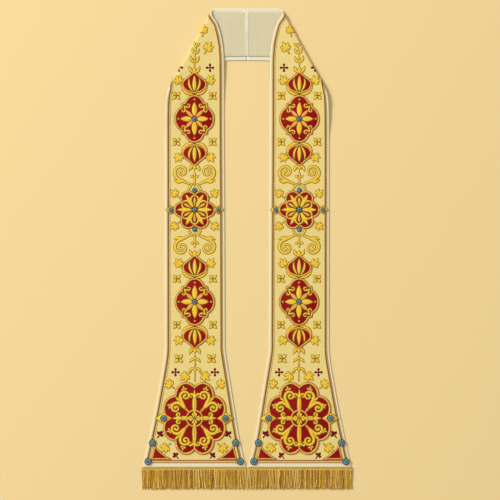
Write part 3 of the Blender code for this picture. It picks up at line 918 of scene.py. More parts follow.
@dataclass(frozen=True)
class TwistedCord:
    """A cord of twisted plies that is couched along a path."""

    radius: float
    pitch: float
    plies: int = 2
    relief: float = 0.2
    columns: int = 8
    closed: bool = False
    flat: float = 1.0

    SUNK = 0.92
    END_SHARE = 0.6

    def lay(self, work: Work, path: Seats,
            finish: Finish | Callable[[int, int], Finish], taper: int = 0) -> None:
        """Lays the cord along a path.

        Args:
            work: the piece that takes it.
            path: the points where the cord rests, each with the surface's normal there.
            finish: what it is made of, or what gives it for a row and column.
            taper: over how many of the path's points it thins away at each end.
        """
        travelled = [0.0, *accumulate((after - before).length
                                      for (before, _), (after, _) in zip(path, path[1:]))]
        last = len(path) - 1
        turns = travelled[-1] / self.pitch
        if self.closed:
            turns = self.plies * round(turns / self.plies)

        def place(row: int, column: int) -> Vector:
            """The point on the cord's skin."""
            seat, normal = path[row]
            ahead, behind = path[min(last, row + 1)][0], path[max(0, row - 1)][0]
            if self.closed and row in (0, last):
                ahead, behind = path[1][0], path[last - 1][0]
            sideways = (ahead - behind).normalized().cross(normal)
            angle = math.tau * column / self.columns
            twist = self.plies * angle - math.tau * turns * travelled[row] / travelled[-1]
            full = self.radius * min(1.0, (min(row, last - row) + self.END_SHARE)
                                     / (taper + self.END_SHARE))
            radius = full * (1 - self.relief * (0.5 - 0.5 * math.cos(twist)))
            if row in (0, last) and not self.closed:
                radius = 0.0
            return (seat + normal * full * self.SUNK * self.flat
                    + radius * (math.cos(angle) * sideways + math.sin(angle) * self.flat * normal))

        def thread(row: int, column: int) -> Pair:
            """Distance along the cord and round it."""
            return travelled[row], self.radius * math.tau * column / self.columns

        work.loft(last + 1, self.columns + 1, place, thread, finish)


@dataclass(frozen=True)
class Strand:
    """One cord of the braid: how far in it lies, and its thread at the sides and at the hem."""

    inset: float
    cord: TwistedCord
    at_sides: Finish
    at_hem: Finish


@dataclass
class EdgeBraid:
    """The braid inside the margin: a tan, an olive-brown and a light cord on a flat tape."""

    PRESSED = 0.48
    STRANDS = (Strand(5.8, TwistedCord(1.2, 5.2, flat=PRESSED), TAN_CORD, TAN_CORD),
               Strand(8.1, TwistedCord(1.15, 4.0, flat=PRESSED), BROWN_CORD, LIGHT_CORD),
               Strand(10.2, TwistedCord(1.0, 4.4, flat=PRESSED), LIGHT_CORD, HEM_RED_CORD))
    SUNK_IN_TAPE = 0.6
    UNDER_TAPE = 0.02
    spacing: float = 1.0
    tape_insets: Pair = (4.8, 11.3)
    tape_rise: float = 0.2
    roll_steps: int = 24
    roll_share: float = 0.75
    taper_from: float = 0.4

    def build(self, side: Side) -> Object:
        """Builds one half's braid.

        Args:
            side: which half it is for.

        Returns:
            The finished braid.
        """
        work = Work()
        self._tape(work)
        over = StoleCut.WALL / 2 + self.tape_rise * self.SUNK_IN_TAPE
        taper = round(self.roll_steps * (self.roll_share - self.taper_from))
        for strand in self.STRANDS:
            path, hem = self._path(strand.inset, over)
            strand.cord.lay(work, path, lambda row, _: strand.at_hem if hem[0] <= row < hem[1]
                            else strand.at_sides, taper)
        return work.issue("edge_braid_cords", side, "edge_braid", ["edge_braid"])

    def _rows(self, inset: float) -> list[Row]:
        """The rows that a strand at an inset passes, from the hem to part of the roll."""
        from_hem = inset + StoleCut.HEM_MARGIN - StoleCut.MARGIN
        rows = StoleCut.rows(StoleCut.band_drops(StoleCut.HEM - from_hem, self.spacing),
                             self.roll_steps, 0)
        return rows[:len(rows) - round(self.roll_steps * (1 - self.roll_share))]

    def _path(self, inset: float, over: float) -> tuple[Seats, tuple[int, int]]:
        """The U at an inset, so far over the wall's middle, and which part follows the hem."""
        rows = self._rows(inset)
        inner, outer = ([(row.place(row.share((edge, inset)), over), row.normal)
                         for row in rows] for edge in ("inner", "outer"))
        span = (outer[0][0] - inner[0][0]).length
        steps = math.ceil(span / self.spacing)
        hem = [(inner[0][0].lerp(outer[0][0], index / steps), UP) for index in range(1, steps)]
        return list(reversed(inner)) + hem + outer, (len(inner), len(inner) + len(hem))

    def _tape(self, work: Work) -> None:
        """Adds the flat tape that the cords are couched on."""
        low, high = self.tape_insets
        outside, _ = self._path(low, StoleCut.WALL / 2)
        rows = len(outside)
        inside, _ = self._path(high, StoleCut.WALL / 2)

        def place(row: int, column: int) -> Vector:
            """The point on the tape's skin."""
            share = row / (rows - 1)
            near = outside[row]
            far = inside[min(len(inside) - 1, round(share * (len(inside) - 1)))]
            seat = (near if column in (0, 1, 4) else far)[0]
            rise = self.tape_rise if column in (1, 2) else self.UNDER_TAPE
            return seat + near[1] * rise

        def thread(row: int, column: int) -> Pair:
            """Distance along the tape and across it."""
            return row * self.spacing, 0.0 if column in (0, 1, 4) else high - low

        work.loft(rows, 5, place, thread, TAN_CORD, capped=True)


@dataclass
class Fringe:
    """The bullion fringe on the hem: a looped header and two rows of twisted strands.

    A layer of strands has its height over the floor and how far its tips stray.
    """

    inner: float = 0.8
    outer: float = 225.0
    start: float = StoleCut.HEM + 0.3
    header_depth: float = 5.6
    header_cord: TwistedCord = TwistedCord(0.85, 3.4, columns=7)
    cord_drops: tuple[tuple[float, Finish], ...] = ((0.9, FRINGE_GOLD), (4.7, LIGHT_BULLION))
    cord_height: float = 0.9
    cord_spacing: float = 1.0
    loop_cord: TwistedCord = TwistedCord(0.6, 2.6, columns=6)
    loop_reach: float = 1.7
    loop_sway: float = 0.9
    loop_height: float = 1.4
    loop_steps: int = 8
    tape_heights: Pair = (0.3, 1.2)
    tape_inset: float = 0.3
    tape_steps: int = 24
    strand_count: int = 114
    radius: float = 0.98
    pitch: float = 4.4
    tip_drop: float = StoleCut.LENGTH - 0.3
    uneven: float = 8.8
    tucked: float = 1.4
    wander: float = 1.8
    rows: int = 26
    layers: tuple[Pair, ...] = ((0.12, 5.0), (1.2, 9.0))

    def build(self, side: Side) -> Object:
        """Builds one half's fringe.

        Args:
            side: which half it is for.

        Returns:
            The finished fringe.
        """
        work = Work()
        self._header(work)
        for layer in range(len(self.layers)):
            for index in range(self.strand_count):
                self._strand(work, index, layer)
        return work.issue("bullion_fringe", side, "gold_fringe", ["fringe"])

    def _point(self, out: float, drop: float, height: float) -> Vector:
        """The scene point at a height over the floor, in millimetres."""
        return Vector((out, StoleCut.LENGTH / 2 - drop, height))

    def _header(self, work: Work) -> None:
        """Adds the header: two straight cords, a cord that loops between them, and a tape."""
        width = self.outer - self.inner
        steps = math.ceil(width / self.cord_spacing)
        for drop, gold in self.cord_drops:
            path = [(self._point(self.inner + width * index / steps, self.start + drop,
                                 self.cord_height), UP) for index in range(steps + 1)]
            self.header_cord.lay(work, path, gold)
        steps = self.strand_count // 2 * self.loop_steps
        middle = self.start + self.header_depth / 2
        path = []
        for index in range(steps + 1):
            turn = math.tau * index / self.loop_steps
            out = self.inner + 1.0 + (width - 2.0) * index / steps
            path.append((self._point(out + self.loop_sway * math.sin(2 * turn),
                                     middle + self.loop_reach * math.cos(turn),
                                     self.loop_height), UP))
        self.loop_cord.lay(work, path, LIGHT_BULLION)
        self._backing(work)

    def _backing(self, work: Work) -> None:
        """Adds the woven tape behind the header's cords."""
        low, high = self.tape_heights
        corners = ((0.0, low), (0.0, high), (1.0, high), (1.0, low), (0.0, low))

        def place(row: int, column: int) -> Vector:
            """The point on the tape's skin."""
            down, height = corners[column]
            out = self.inner + 0.5 + (self.outer - self.inner - 1.0) * row / self.tape_steps
            deep = self.header_depth - 2 * self.tape_inset
            return self._point(out, self.start + self.tape_inset + down * deep, height)

        work.loft(self.tape_steps + 1, len(corners), place,
                  lambda row, column: (row * 9.0, column * 2.0), FRINGE_GOLD, capped=True)

    def _strand(self, work: Work, index: int, layer: int) -> None:
        """Adds one strand of a layer, with its own lean, wave, length and shade."""
        height, stray = self.layers[layer]
        seed = Vector((index * 7.31, layer * 3.17, 1.7))
        lean, wave, short, swell = (noise.noise(seed + Vector((0.0, 0.0, 11.3 * number)))
                                    for number in range(4))
        near, far = self.inner + self.radius, self.outer - self.radius
        root = near + (far - near) / self.strand_count * (index + 0.5 + 0.35 * (layer - 0.5))
        top = self.start + self.header_depth - self.tucked
        bottom = self.tip_drop - self.uneven * abs(short) - 0.6 * (1 - layer)
        path = []
        for row in range(self.rows + 1):
            share = row / self.rows
            out = (root + stray * lean * share ** 1.6
                   + self.wander * wave * math.sin(math.pi * share * 2.2))
            fall = height + layer * share * (0.25 * swell - 0.1)
            path.append((self._point(min(max(out, near), far), top + (bottom - top) * share,
                                     max(0.05, fall)), UP))
        shade = (index * 5 + layer * 3 + round(4 * abs(lean))) % len(FRINGE_GOLDS)
        TwistedCord(self.radius * (1 + 0.12 * swell), self.pitch * (1 + 0.15 * wave), relief=0.3,
                    columns=6).lay(work, path, FRINGE_GOLDS[shade])


class Layout:
    """Where the medallions lie down the band, and how far aside their outer stones lie."""

    UPPER = 235.5
    ROSETTE = 429.0
    LOWER = 625.0
    ROUNDEL = 873.0
    ROSETTE_ASIDE = 50.5
    ROUNDEL_ASIDE = 66.0


class Seat(Enum):
    """What a stone is set on; the value is the seat's height over the face."""

    CLOTH = 0.3
    BRAID = 1.45
    PLATE = 1.5
    POINT = 2.1


@dataclass(frozen=True)
class StoneSpot:
    """One stone: its name, where it lies on the band, its size and what it is set on."""

    name: str
    drop: float
    aside: float
    radius: float
    height: float
    seat: Seat

    def places(self) -> list[tuple[str, float]]:
        """The stone's name and place across the band, or a pair's two."""
        if self.aside == 0.0:
            return [(self.name, 0.0)]
        return [(f"{self.name}_inner", -self.aside), (f"{self.name}_outer", self.aside)]


@dataclass
class Stones:
    """The faceted glass stones, each in a corded ring."""

    SPOTS = (StoneSpot("upper_stone", Layout.UPPER, 0.0, 5.6, 2.6, Seat.PLATE),
             StoneSpot("rosette_stone", Layout.ROSETTE, 0.0, 5.6, 2.6, Seat.PLATE),
             StoneSpot("rosette_top_stone", Layout.ROSETTE - 42.0, 0.0, 5.6, 2.6, Seat.CLOTH),
             StoneSpot("rosette_low_stone", Layout.ROSETTE + 42.0, 0.0, 5.6, 2.6, Seat.CLOTH),
             StoneSpot("rosette_side_stone", Layout.ROSETTE, Layout.ROSETTE_ASIDE, 5.6, 2.6,
                       Seat.BRAID),
             StoneSpot("lower_stone", Layout.LOWER, 0.0, 5.6, 2.6, Seat.PLATE),
             StoneSpot("roundel_stone", Layout.ROUNDEL, Layout.ROUNDEL_ASIDE, 7.3, 2.9,
                       Seat.POINT),
             StoneSpot("border_stone", 925.0, 88.6, 7.8, 2.9, Seat.BRAID),
             StoneSpot("corner_stone", 964.9, 98.2, 7.8, 2.9, Seat.BRAID))
    facets: int = 4
    rings: tuple[tuple[float, Finish], ...] = ((0.26, RING_CORD), (0.24, BEZEL_CORD))
    ring_pitch: float = 2.2
    ring_steps: int = 40
    ring_sunk: float = 0.1
    overlap: float = 1.7
    tight: float = 1.06
    girdle_top: float = 0.4
    crown: Pair = (0.6, 0.95)
    table: float = 0.58
    hollow: float = 0.94

    def build(self, side: Side) -> list[Object]:
        """Builds one half's stones."""
        return [self._stone(side, spot, name, aside)
                for spot in self.SPOTS for name, aside in spot.places()]

    def _stone(self, side: Side, spot: StoneSpot, name: str, aside: float) -> Object:
        """Builds one stone in its two rings, so far aside from the band's axis."""
        work = Work()
        centre = Vector((StoleCut.axis_out(spot.drop) + aside, spot.drop))
        girdle = spot.radius
        for share, finish in self.rings:
            cord = spot.radius * share / 2
            ring = []
            for index in range(self.ring_steps + 1):
                turn = math.tau * index / self.ring_steps
                along = Vector((math.cos(turn), math.sin(turn))) * (girdle - cord)
                ring.append((FACE.place(centre + along, spot.seat.value - self.ring_sunk), UP))
            TwistedCord(cord, self.ring_pitch, closed=True).lay(work, ring, finish)
            girdle -= self.overlap * cord
        girdle *= self.tight
        crown_at, crown_share = self.crown
        levels = ((0.0, girdle), (self.girdle_top, girdle), (crown_at, girdle * crown_share),
                  (1.0, girdle * self.table))
        seat = FACE.place(centre, spot.seat.value)
        segments = self.facets * 2

        def place(row: int, column: int) -> Vector:
            """The point of the cut stone: girdle, crown and table."""
            if row in (0, len(levels) + 1):
                return seat + UP * (spot.height if row else 0.0)
            share, radius = levels[row - 1]
            turn = math.tau * (column + (0.5 if row == 4 else 0.0)) / segments
            if row == 3:
                radius *= 1.0 if column % 2 else self.hollow
            return seat + Vector((math.cos(turn) * radius, math.sin(turn) * radius,
                                  share * spot.height))

        work.loft(len(levels) + 2, segments + 1, place,
                  lambda row, column: (float(row), float(column)), STONE_GLASS, smooth=False)
        return work.issue(f"{name}_set", side, "cut_stone", [name])


class Shape(Enum):
    """How a stitched stroke's width runs from its start to its end, as shares of its width."""

    LENS = Smooth(((0.0, 0.0), (0.1, 0.46), (0.3, 0.9), (0.48, 1.0), (0.7, 0.78), (0.88, 0.36),
                   (1.0, 0.0)))
    DROP = Smooth(((0.0, 0.16), (0.25, 0.42), (0.5, 0.84), (0.66, 1.0), (0.82, 0.78),
                   (0.94, 0.32), (1.0, 0.0)))
    STEM = Smooth(((0.0, 0.7), (0.5, 1.0), (1.0, 0.7)))
    SCROLL = Smooth(((0.0, 0.16), (0.12, 0.66), (0.3, 1.0), (0.62, 0.8), (0.86, 0.54),
                     (0.97, 0.62), (1.0, 0.3)))
    BEAD = Smooth(((0.0, 0.0), (0.08, 0.5), (0.25, 0.86), (0.5, 1.0), (0.75, 0.86), (0.92, 0.5),
                   (1.0, 0.0)))


def polar(radius: float, degrees: float) -> complex:
    """The point at a radius and an angle from the outward direction."""
    return cmath.rect(radius, math.radians(degrees))


def line(start: complex, end: complex, steps: int = 8) -> Path:
    """A straight path from one point to another."""
    return [start + (end - start) * index / steps for index in range(steps + 1)]


def curl(start: complex, heading: float, length: float, turn: float, tighten: float = 1.0,
         steps: int = 16) -> Path:
    """A path that turns as it goes, ever faster where it tightens.

    Args:
        start: where it starts.
        heading: its first direction, in degrees from outward.
        length: its length.
        turn: how far it turns in all, in degrees.
        tighten: the power by which its turning gathers pace.
        steps: how many steps it has.

    Returns:
        The path's points.
    """
    path = [start]
    for index in range(steps):
        share = (index + 0.5) / steps
        path.append(path[-1] + polar(length / steps, heading + turn * share ** tighten))
    return path


def coil(start: complex, centre: complex, radius: float, hand: int, turn: float,
         eye: float = 0.16, steps: int = 34) -> Path:
    """A path that runs from a point onto a spiral and winds in to its eye.

    Args:
        start: where it starts, outside the spiral.
        centre: the spiral's eye.
        radius: the spiral's radius where the path meets it.
        hand: 1 to wind anticlockwise, -1 clockwise.
        turn: how far it winds, in degrees.
        eye: the share of the radius that is left at its end.
        steps: how many steps the spiral has.

    Returns:
        The path's points.
    """
    away = start - centre
    touch = cmath.phase(away) + hand * math.acos(min(1.0, radius / abs(away)))
    first = centre + cmath.rect(radius, touch)
    bend, lead_steps = 0.12, 7
    bow = -1j * hand * (first - start) * bend
    lead = [start + (first - start) * t + bow * 4 * t * (1 - t) * (1 - t)
            for t in (index / lead_steps for index in range(lead_steps))]
    winding = [centre + cmath.rect(radius * (1 + (eye - 1) * share ** 0.85),
                                   touch + hand * math.radians(turn) * share)
               for share in (index / steps for index in range(steps + 1))]
    return lead + winding


def shift_out(outline: Path, distance: float) -> Path:
    """A closed outline moved outwards, square to its own direction.

    Args:
        outline: its points, anticlockwise.
        distance: how far it moves, below 0 for inwards.

    Returns:
        The moved points; a sharp corner moves at most twice the distance.
    """
    moved = []
    for index, point in enumerate(outline):
        before = point - outline[index - 1]
        after = outline[(index + 1) % len(outline)] - point
        way = before / abs(before) + after / abs(after)
        way /= max(abs(way), 1e-6)
        cosine = (before.conjugate() * way).real / abs(before)
        moved.append(point - 1j * way * distance / max(0.5, cosine))
    return moved


def foil(lobes: int, reach: float, cusp: float, stretch: float = 1.0, barb: float = 0.0,
         first: float = 90.0, steps: int = 12) -> Path:
    """The closed outline of a foil: round lobes that meet at cusps, or at barbs.

    Args:
        lobes: how many lobes it has.
        reach: how far the lobes reach from its centre.
        cusp: how far from its centre the lobes' circles meet.
        stretch: its height over its width.
        barb: how far a barb reaches from the centre, or 0 for plain cusps.
        first: the direction of its first lobe, in degrees.
        steps: how many steps each lobe has.

    Returns:
        The outline's points, anticlockwise.
    """
    half = math.pi / lobes
    centre = (reach ** 2 - cusp ** 2) / (2 * (reach - cusp * math.cos(half)))
    radius = reach - centre
    sweep = cmath.phase(cmath.rect(cusp, half) - centre) * (0.8 if barb else 1.0)
    outline = []
    for lobe in range(lobes):
        turn = cmath.rect(1.0, math.radians(first) + 2 * half * lobe)
        for index in range(steps + (1 if barb else 0)):
            angle = sweep * (2 * index / steps - 1)
            outline.append((centre + cmath.rect(radius, angle)) * turn)
        if barb:
            tip = cmath.rect(barb, half) * turn
            outline += [outline[-1] + (tip - outline[-1]) * 0.55, tip]
            ahead = (centre + cmath.rect(radius, -sweep)) * turn * cmath.rect(1.0, 2 * half)
            outline.append(tip + (ahead - tip) * 0.45)
    return [complex(point.real, point.imag * stretch) for point in outline]


@dataclass(frozen=True)
class Spot:
    """Where a motif's own centre lies on the band, how it is turned and whether it is flipped."""

    aside: float
    drop: float
    turn: float = 0.0
    flip: bool = False
    scale: float = 1.0

    LEVEL_FROM = Layout.UPPER

    def at(self, point: complex) -> Vector:
        """The place on the cloth, as (out, drop), of a point of the motif."""
        point = point * polar(self.scale, self.turn)
        across = self.aside + point.real
        axis = StoleCut.axis_out(max(self.drop, self.LEVEL_FROM))
        return Vector((axis + (-across if self.flip else across), self.drop - point.imag))

    def moved(self, point: complex, turn: float = 0.0, scale: float = 1.0) -> Spot:
        """A spot at a point of this motif, turned and scaled further."""
        place = point * polar(self.scale, self.turn)
        return Spot(self.aside + place.real, self.drop - place.imag, self.turn + turn, self.flip,
                    self.scale * scale)

    def mirrored(self) -> Spot:
        """The spot that mirrors this one across the band's axis."""
        return Spot(self.aside, self.drop, self.turn, not self.flip, self.scale)


@dataclass
class Needle:
    """Stitches strokes, cords and grounds on the face of the cloth."""

    work: Work
    spot: Spot

    FULL_WIDTH = 2.4
    SECTION = (-1.0, -0.72, -0.28, 0.28, 0.72, 1.0, -1.0)
    OUTLINE_RISE = 0.45
    CLEAR = 0.02
    CURVED_UNTIL = 300.0
    CUT_SPACING = 9.0
    ROLL_LIMIT = 5.2
    CORD_FLAT = 0.62

    def at(self, spot: Spot) -> Needle:
        """The same needle at another spot."""
        return Needle(self.work, spot)

    def moved(self, point: complex, turn: float = 0.0) -> Needle:
        """The same needle at a point of its motif, turned further."""
        return self.at(self.spot.moved(point, turn))

    def pair(self) -> tuple[Needle, Needle]:
        """This needle and its twin across the band's axis."""
        return self, self.at(self.spot.mirrored())

    def seat(self, point: complex, raised: float) -> Vector:
        """The scene point over a point of the motif, kept off the hidden side of the fold."""
        return FACE.place(self._kept(self.spot.at(point)), raised)

    def _kept(self, place: Vector) -> Vector:
        """A place on the cloth, held back where it would pass round the fold."""
        beyond = (place - StoleCut.FOLD_START).dot(StoleCut.OFF)
        return place - StoleCut.OFF * max(0.0, beyond - self.ROLL_LIMIT)

    def stroke(self, path: Path, width: float, shape: Shape = Shape.LENS,
               finish: Finish = GOLD_THREAD, base: float = 0.0, rise: float = 0.85,
               rim: float = 0.85) -> None:
        """Stitches a stroke, over a slightly wider dark one that outlines it.

        Args:
            path: the stroke's middle line.
            width: its greatest width.
            shape: how its width runs.
            finish: its thread.
            base: how high over the cloth's face it starts.
            rise: how high its middle stands over that.
            rim: how far the outline shows at each side, or 0 for none.
        """
        if rim:
            ends = [path[0] - (path[1] - path[0]) / abs(path[1] - path[0]) * rim,
                    path[-1] + (path[-1] - path[-2]) / abs(path[-1] - path[-2]) * rim]
            self._strip([ends[0], *path, ends[1]], width, shape, OLIVE_THREAD, base,
                        rise * self.OUTLINE_RISE, rim)
        self._strip(path, width, shape, finish, base, rise, 0.0)

    def _strip(self, path: Path, width: float, shape: Shape, finish: Finish, base: float,
               rise: float, wider: float) -> None:
        """Adds one domed strip along a path, closed beneath, a little wider on every side."""
        travelled = [0.0, *accumulate(abs(after - before)
                                      for before, after in zip(path, path[1:]))]
        total = travelled[-1]
        last = len(path) - 1
        halves = [width / 2 * shape.value((reach - wider) / max(1e-6, total - 2 * wider)) + wider
                  for reach in travelled]
        scale = self.spot.scale

        def place(row: int, column: int) -> Vector:
            """The point of the strip; its first and last rows close it."""
            at = min(max(row - 1, 0), last)
            ahead, behind = path[min(last, at + 1)], path[max(0, at - 1)]
            side = 1j * (ahead - behind) / abs(ahead - behind)
            half = 0.0 if row in (0, last + 2) else halves[at]
            across = self.SECTION[column]
            dome = math.sqrt(max(0.0, 1 - across * across))
            high = rise * min(1.0, half * scale * 2 / self.FULL_WIDTH) * dome
            return self.seat(path[at] + side * across * half, base + self.CLEAR + high)

        def thread(row: int, column: int) -> Pair:
            """Distance along the strip and out from its middle."""
            at = min(max(row - 1, 0), last)
            return travelled[at] * scale, self.SECTION[column] * halves[at] * scale

        self.work.loft(last + 3, len(self.SECTION), place, thread, finish)

    def cord(self, outline: Path, radius: float, finish: Finish, base: float = 0.0,
             pitch: float = 3.6) -> None:
        """Couches a twisted cord round a closed outline."""
        path = [(self.seat(point, base), UP) for point in (*outline, outline[0])]
        TwistedCord(radius, pitch, columns=6, closed=True,
                    flat=self.CORD_FLAT).lay(self.work, path, finish)

    def ground(self, outline: Path, finish: Finish, rise: float, soft: float = 0.6) -> None:
        """Fills an outline with stitching that stands over the cloth, with a rounded edge.

        Args:
            outline: the closed outline, anticlockwise.
            finish: its thread.
            rise: how high its top stands over the cloth's face.
            soft: how wide its rounded edge is, and the share of the rise below it.
        """
        small = bmesh.new()
        layer = small.loops.layers.uv.new(Work.THREAD_MAP)
        spots = [self._kept(self.spot.at(point)) for point in outline]
        start = small.faces.new([small.verts.new((spot.x, spot.y, 0.0)) for spot in spots])
        low = min(spot.y for spot in spots)
        high = max(spot.y for spot in spots)
        top = bmesh.ops.extrude_face_region(small, geom=[start], use_keep_orig=True)["geom"]
        lifted = [item for item in top if isinstance(item, bmesh.types.BMVert)]
        bmesh.ops.translate(small, vec=(0.0, 0.0, rise * soft), verts=lifted)
        upper = [item for item in top if isinstance(item, bmesh.types.BMFace)]
        bmesh.ops.inset_region(small, faces=upper, thickness=soft, depth=0.0,
                               use_even_offset=True, use_boundary=True)
        for vert in {vert for face in upper for vert in face.verts}:
            vert.co.z = rise
        cut = low + self.CUT_SPACING
        while cut < min(high, self.CURVED_UNTIL):
            bmesh.ops.bisect_plane(small, geom=[*small.verts, *small.edges, *small.faces],
                                   plane_co=(0.0, cut, 0.0), plane_no=(0.0, 1.0, 0.0))
            cut += self.CUT_SPACING
        index = self.work.slot(finish)
        for face in small.faces:
            face.smooth = True
            face.material_index = index
            for loop in face.loops:
                loop[layer].uv = (loop.vert.co.y * MM, loop.vert.co.x * MM)
        for vert in small.verts:
            vert.co = FACE.place(Vector((vert.co.x, vert.co.y)), vert.co.z) * MM
        self.work.join(small)

    def bead(self, centre: complex, radius: float, finish: Finish, base: float = 0.0,
             rise: float = 1.0, rim: float = 0.7) -> None:
        """Stitches a round knot."""
        self.stroke(line(centre - radius, centre + radius, 6), radius * 2, Shape.BEAD, finish,
                    base, rise, rim)


OLIVE_PITCH = 2.6


class Motif:
    """The small motifs that the embroidery repeats, each drawn round its own centre."""

    @staticmethod
    def leaf(needle: Needle, size: float, base: float = 0.0) -> None:
        """A leaf of five pointed lobes on a short stalk; it points along its own +Y."""
        needle.stroke(line(-0.5j * size, 0.05j * size, 4), size * 0.1, Shape.STEM, base=base)
        for angle, reach, width in ((92.0, 0.56, 0.25), (48.0, 0.78, 0.31), (0.0, 0.94, 0.36)):
            for hand in (-1, 1) if angle else (1,):
                way = 90.0 + angle * hand
                path = curl(polar(0.02 * size, way), way, reach * size * 0.86, -22.0 * hand
                            if angle else 0.0)
                needle.stroke(path, width * size, base=base)
                needle.stroke(path[2:-5], 0.6, Shape.STEM, OLIVE_THREAD, base + 0.7, 0.32, 0.0)

    @staticmethod
    def blossom(needle: Needle, size: float, petals: int = 4, first: float = 45.0,
                base: float = 0.0) -> None:
        """An open flower of petals round a knot."""
        shape, plump = (Shape.DROP, 1.5) if petals > 5 else (Shape.LENS, 1.15)
        for petal in range(petals):
            angle = first + 360.0 * petal / petals
            path = line(polar(0.05 * size, angle), polar(0.5 * size, angle))
            needle.stroke(path, size * plump / petals, shape, GOLD_THREAD, base)
        needle.bead(0j, size * 0.09, OLIVE_THREAD, base + 0.3, 0.9, 0.0)

    @staticmethod
    def crosslet(needle: Needle, size: float) -> None:
        """A small even-armed cross whose arms widen to their ends."""
        for arm in range(4):
            angle = 90.0 * arm
            needle.stroke(line(polar(0.02 * size, angle), polar(size / 2, angle), 6), size * 0.3,
                          Shape.DROP, DEEP_RED_THREAD, rise=0.6, rim=0.0)
        needle.bead(0j, size * 0.12, DEEP_RED_THREAD, 0.1, 0.7, 0.0)

    @staticmethod
    def trefoil(needle: Needle, size: float) -> None:
        """Three small red petals and a stalk."""
        for angle, reach in ((90.0, 0.56), (20.0, 0.48), (160.0, 0.48)):
            needle.stroke(line(polar(0.02 * size, angle), polar(reach * size, angle), 8),
                          size * 0.36, Shape.LENS, DEEP_RED_THREAD, rise=0.6, rim=0.0)
        needle.stroke(line(0j, -0.48j * size, 6), size * 0.16, Shape.STEM, DEEP_RED_THREAD,
                      rise=0.5, rim=0.0)

    @staticmethod
    def lozenge(needle: Needle, width: float, height: float, rise: float) -> None:
        """A gold plate with four points, corded round, that a stone is set on."""
        points = [width / 2, 0.5j * height, -width / 2, -0.5j * height]
        sides = [spot for start, end in zip(points, points[1:] + points[:1])
                 for spot in line(start, end, 6)[:-1]]
        needle.ground(sides, GOLD_THREAD, rise=rise)
        needle.cord(sides, 0.8, OLIVE_THREAD, rise * 0.5, OLIVE_PITCH)

    @staticmethod
    def volute(needle: Needle, width: float, path: Path, base: float = 0.0) -> None:
        """A scroll that winds up to a knot in its eye."""
        needle.stroke(path, width, Shape.SCROLL, base=base, rise=0.9)
        needle.bead(path[-1], width * 0.5, GOLD_THREAD, base)

    @staticmethod
    def fan(needle: Needle, size: float, count: int, spread: float, base: float = 0.0,
            plump: float = 0.3) -> None:
        """A palmette: petals fanned from one point, the middle one longest and uppermost.

        Args:
            needle: what stitches it, at its root.
            size: the middle petal's length.
            count: how many petals it has.
            spread: the angle between its outer petals, in degrees.
            base: how high over the cloth's face it starts.
            plump: a petal's width over the palmette's size.
        """
        for index in sorted(range(count), key=lambda number: -abs(2 * number - count + 1)):
            share = 2 * index / (count - 1) - 1
            angle = 90.0 - spread / 2 * share
            reach = size * (1 - 0.26 * share * share)
            path = curl(0j, angle, reach, -spread * 0.3 * share)
            needle.stroke(path, size * plump, Shape.DROP, base=base)


@dataclass(frozen=True)
class Sprig:
    """A small motif on the silk: which it is, where its centre lies, its size and its turn."""

    motif: Callable[[Needle, float], None]
    centre: complex
    size: float
    turn: float = 0.0

    def stitch(self, needle: Needle) -> None:
        """Stitches it at its place from the needle's own spot."""
        self.motif(needle.moved(self.centre, self.turn), self.size)


@dataclass
class Medallion:
    """A red ground of foil outline with two cords round it, and what is stitched on it.

    Its outline has so many lobes, which reach so far, meet at cusps and are stretched in height.
    """

    name: str
    drop: float
    lobes: int
    reach: float
    cusp: float
    stretch: float
    barb: float = 0.0
    first: float = 90.0
    peach_radius: float = 1.9
    olive_radius: float = 0.75
    ground_rise: float = 0.75

    def outline(self, inset: float) -> Path:
        """The foil's outline, an inset within its full size."""
        full = foil(self.lobes, self.reach, self.cusp, self.stretch, self.barb, self.first)
        return shift_out(full, -inset)

    def build(self, needle: Needle) -> None:
        """Stitches the ground, its cords and its ornament."""
        olive = self.olive_radius
        peach = self.peach_radius
        needle.ground(self.outline(2 * olive + peach * 0.6), RED_THREAD, rise=self.ground_rise)
        needle.cord(self.outline(2 * olive + peach * 0.7), peach, PEACH_THREAD, 0.1)
        needle.cord(self.outline(olive), olive, OLIVE_THREAD, 0.05, OLIVE_PITCH)
        self.ornament(needle)

    def ornament(self, needle: Needle) -> None:
        """Stitches what lies on the ground; each kind of medallion has its own."""

    def dress(self, side: Side) -> Object:
        """Builds the medallion for one half."""
        work = Work()
        self.build(Needle(work, Spot(0.0, self.drop)))
        return work.issue(f"{self.name}_embroidery", side, "red_applique", [self.name])


@dataclass
class Quatrefoil(Medallion):
    """A barbed quatrefoil with a star flower round a stone."""

    lobes: int = 4
    reach: float = 43.5
    cusp: float = 32.5
    stretch: float = 1.19
    barb: float = 40.0

    def ornament(self, needle: Needle) -> None:
        """A star of eight petals, a knot in each lobe and a pair of curls at each barb."""
        base = self.ground_rise
        for step in range(4):
            angle = 45.0 + 90.0 * step
            barb = polar(34.5, angle)
            root = needle.moved(complex(barb.real, barb.imag * self.stretch), angle + 90.0)
            for hand in (-1, 1):
                path = coil(1.0j, complex(7.6 * hand, 8.0), 4.6, -hand, 300.0, 0.3, 22)
                root.stroke(path, 3.4, Shape.SCROLL, base=base)
            needle.stroke(line(polar(4.0, angle), polar(27.0, angle)), 8.4, Shape.LENS,
                          PEACH_THREAD, base)
        for step in range(4):
            angle = 90.0 * step
            long = self.stretch if step % 2 else 1.0
            needle.stroke(line(polar(4.0, angle), polar(30.0 * long, angle)), 12.6, base=base,
                          rise=1.05)
            needle.stroke(line(polar(9.0, angle), polar(21.0 * long, angle)), 0.9, Shape.LENS,
                          OLIVE_THREAD, base + 0.85, 0.35, 0.0)
            needle.bead(polar(34.4 * long, angle), 2.1, PEACH_THREAD, base, 0.8)


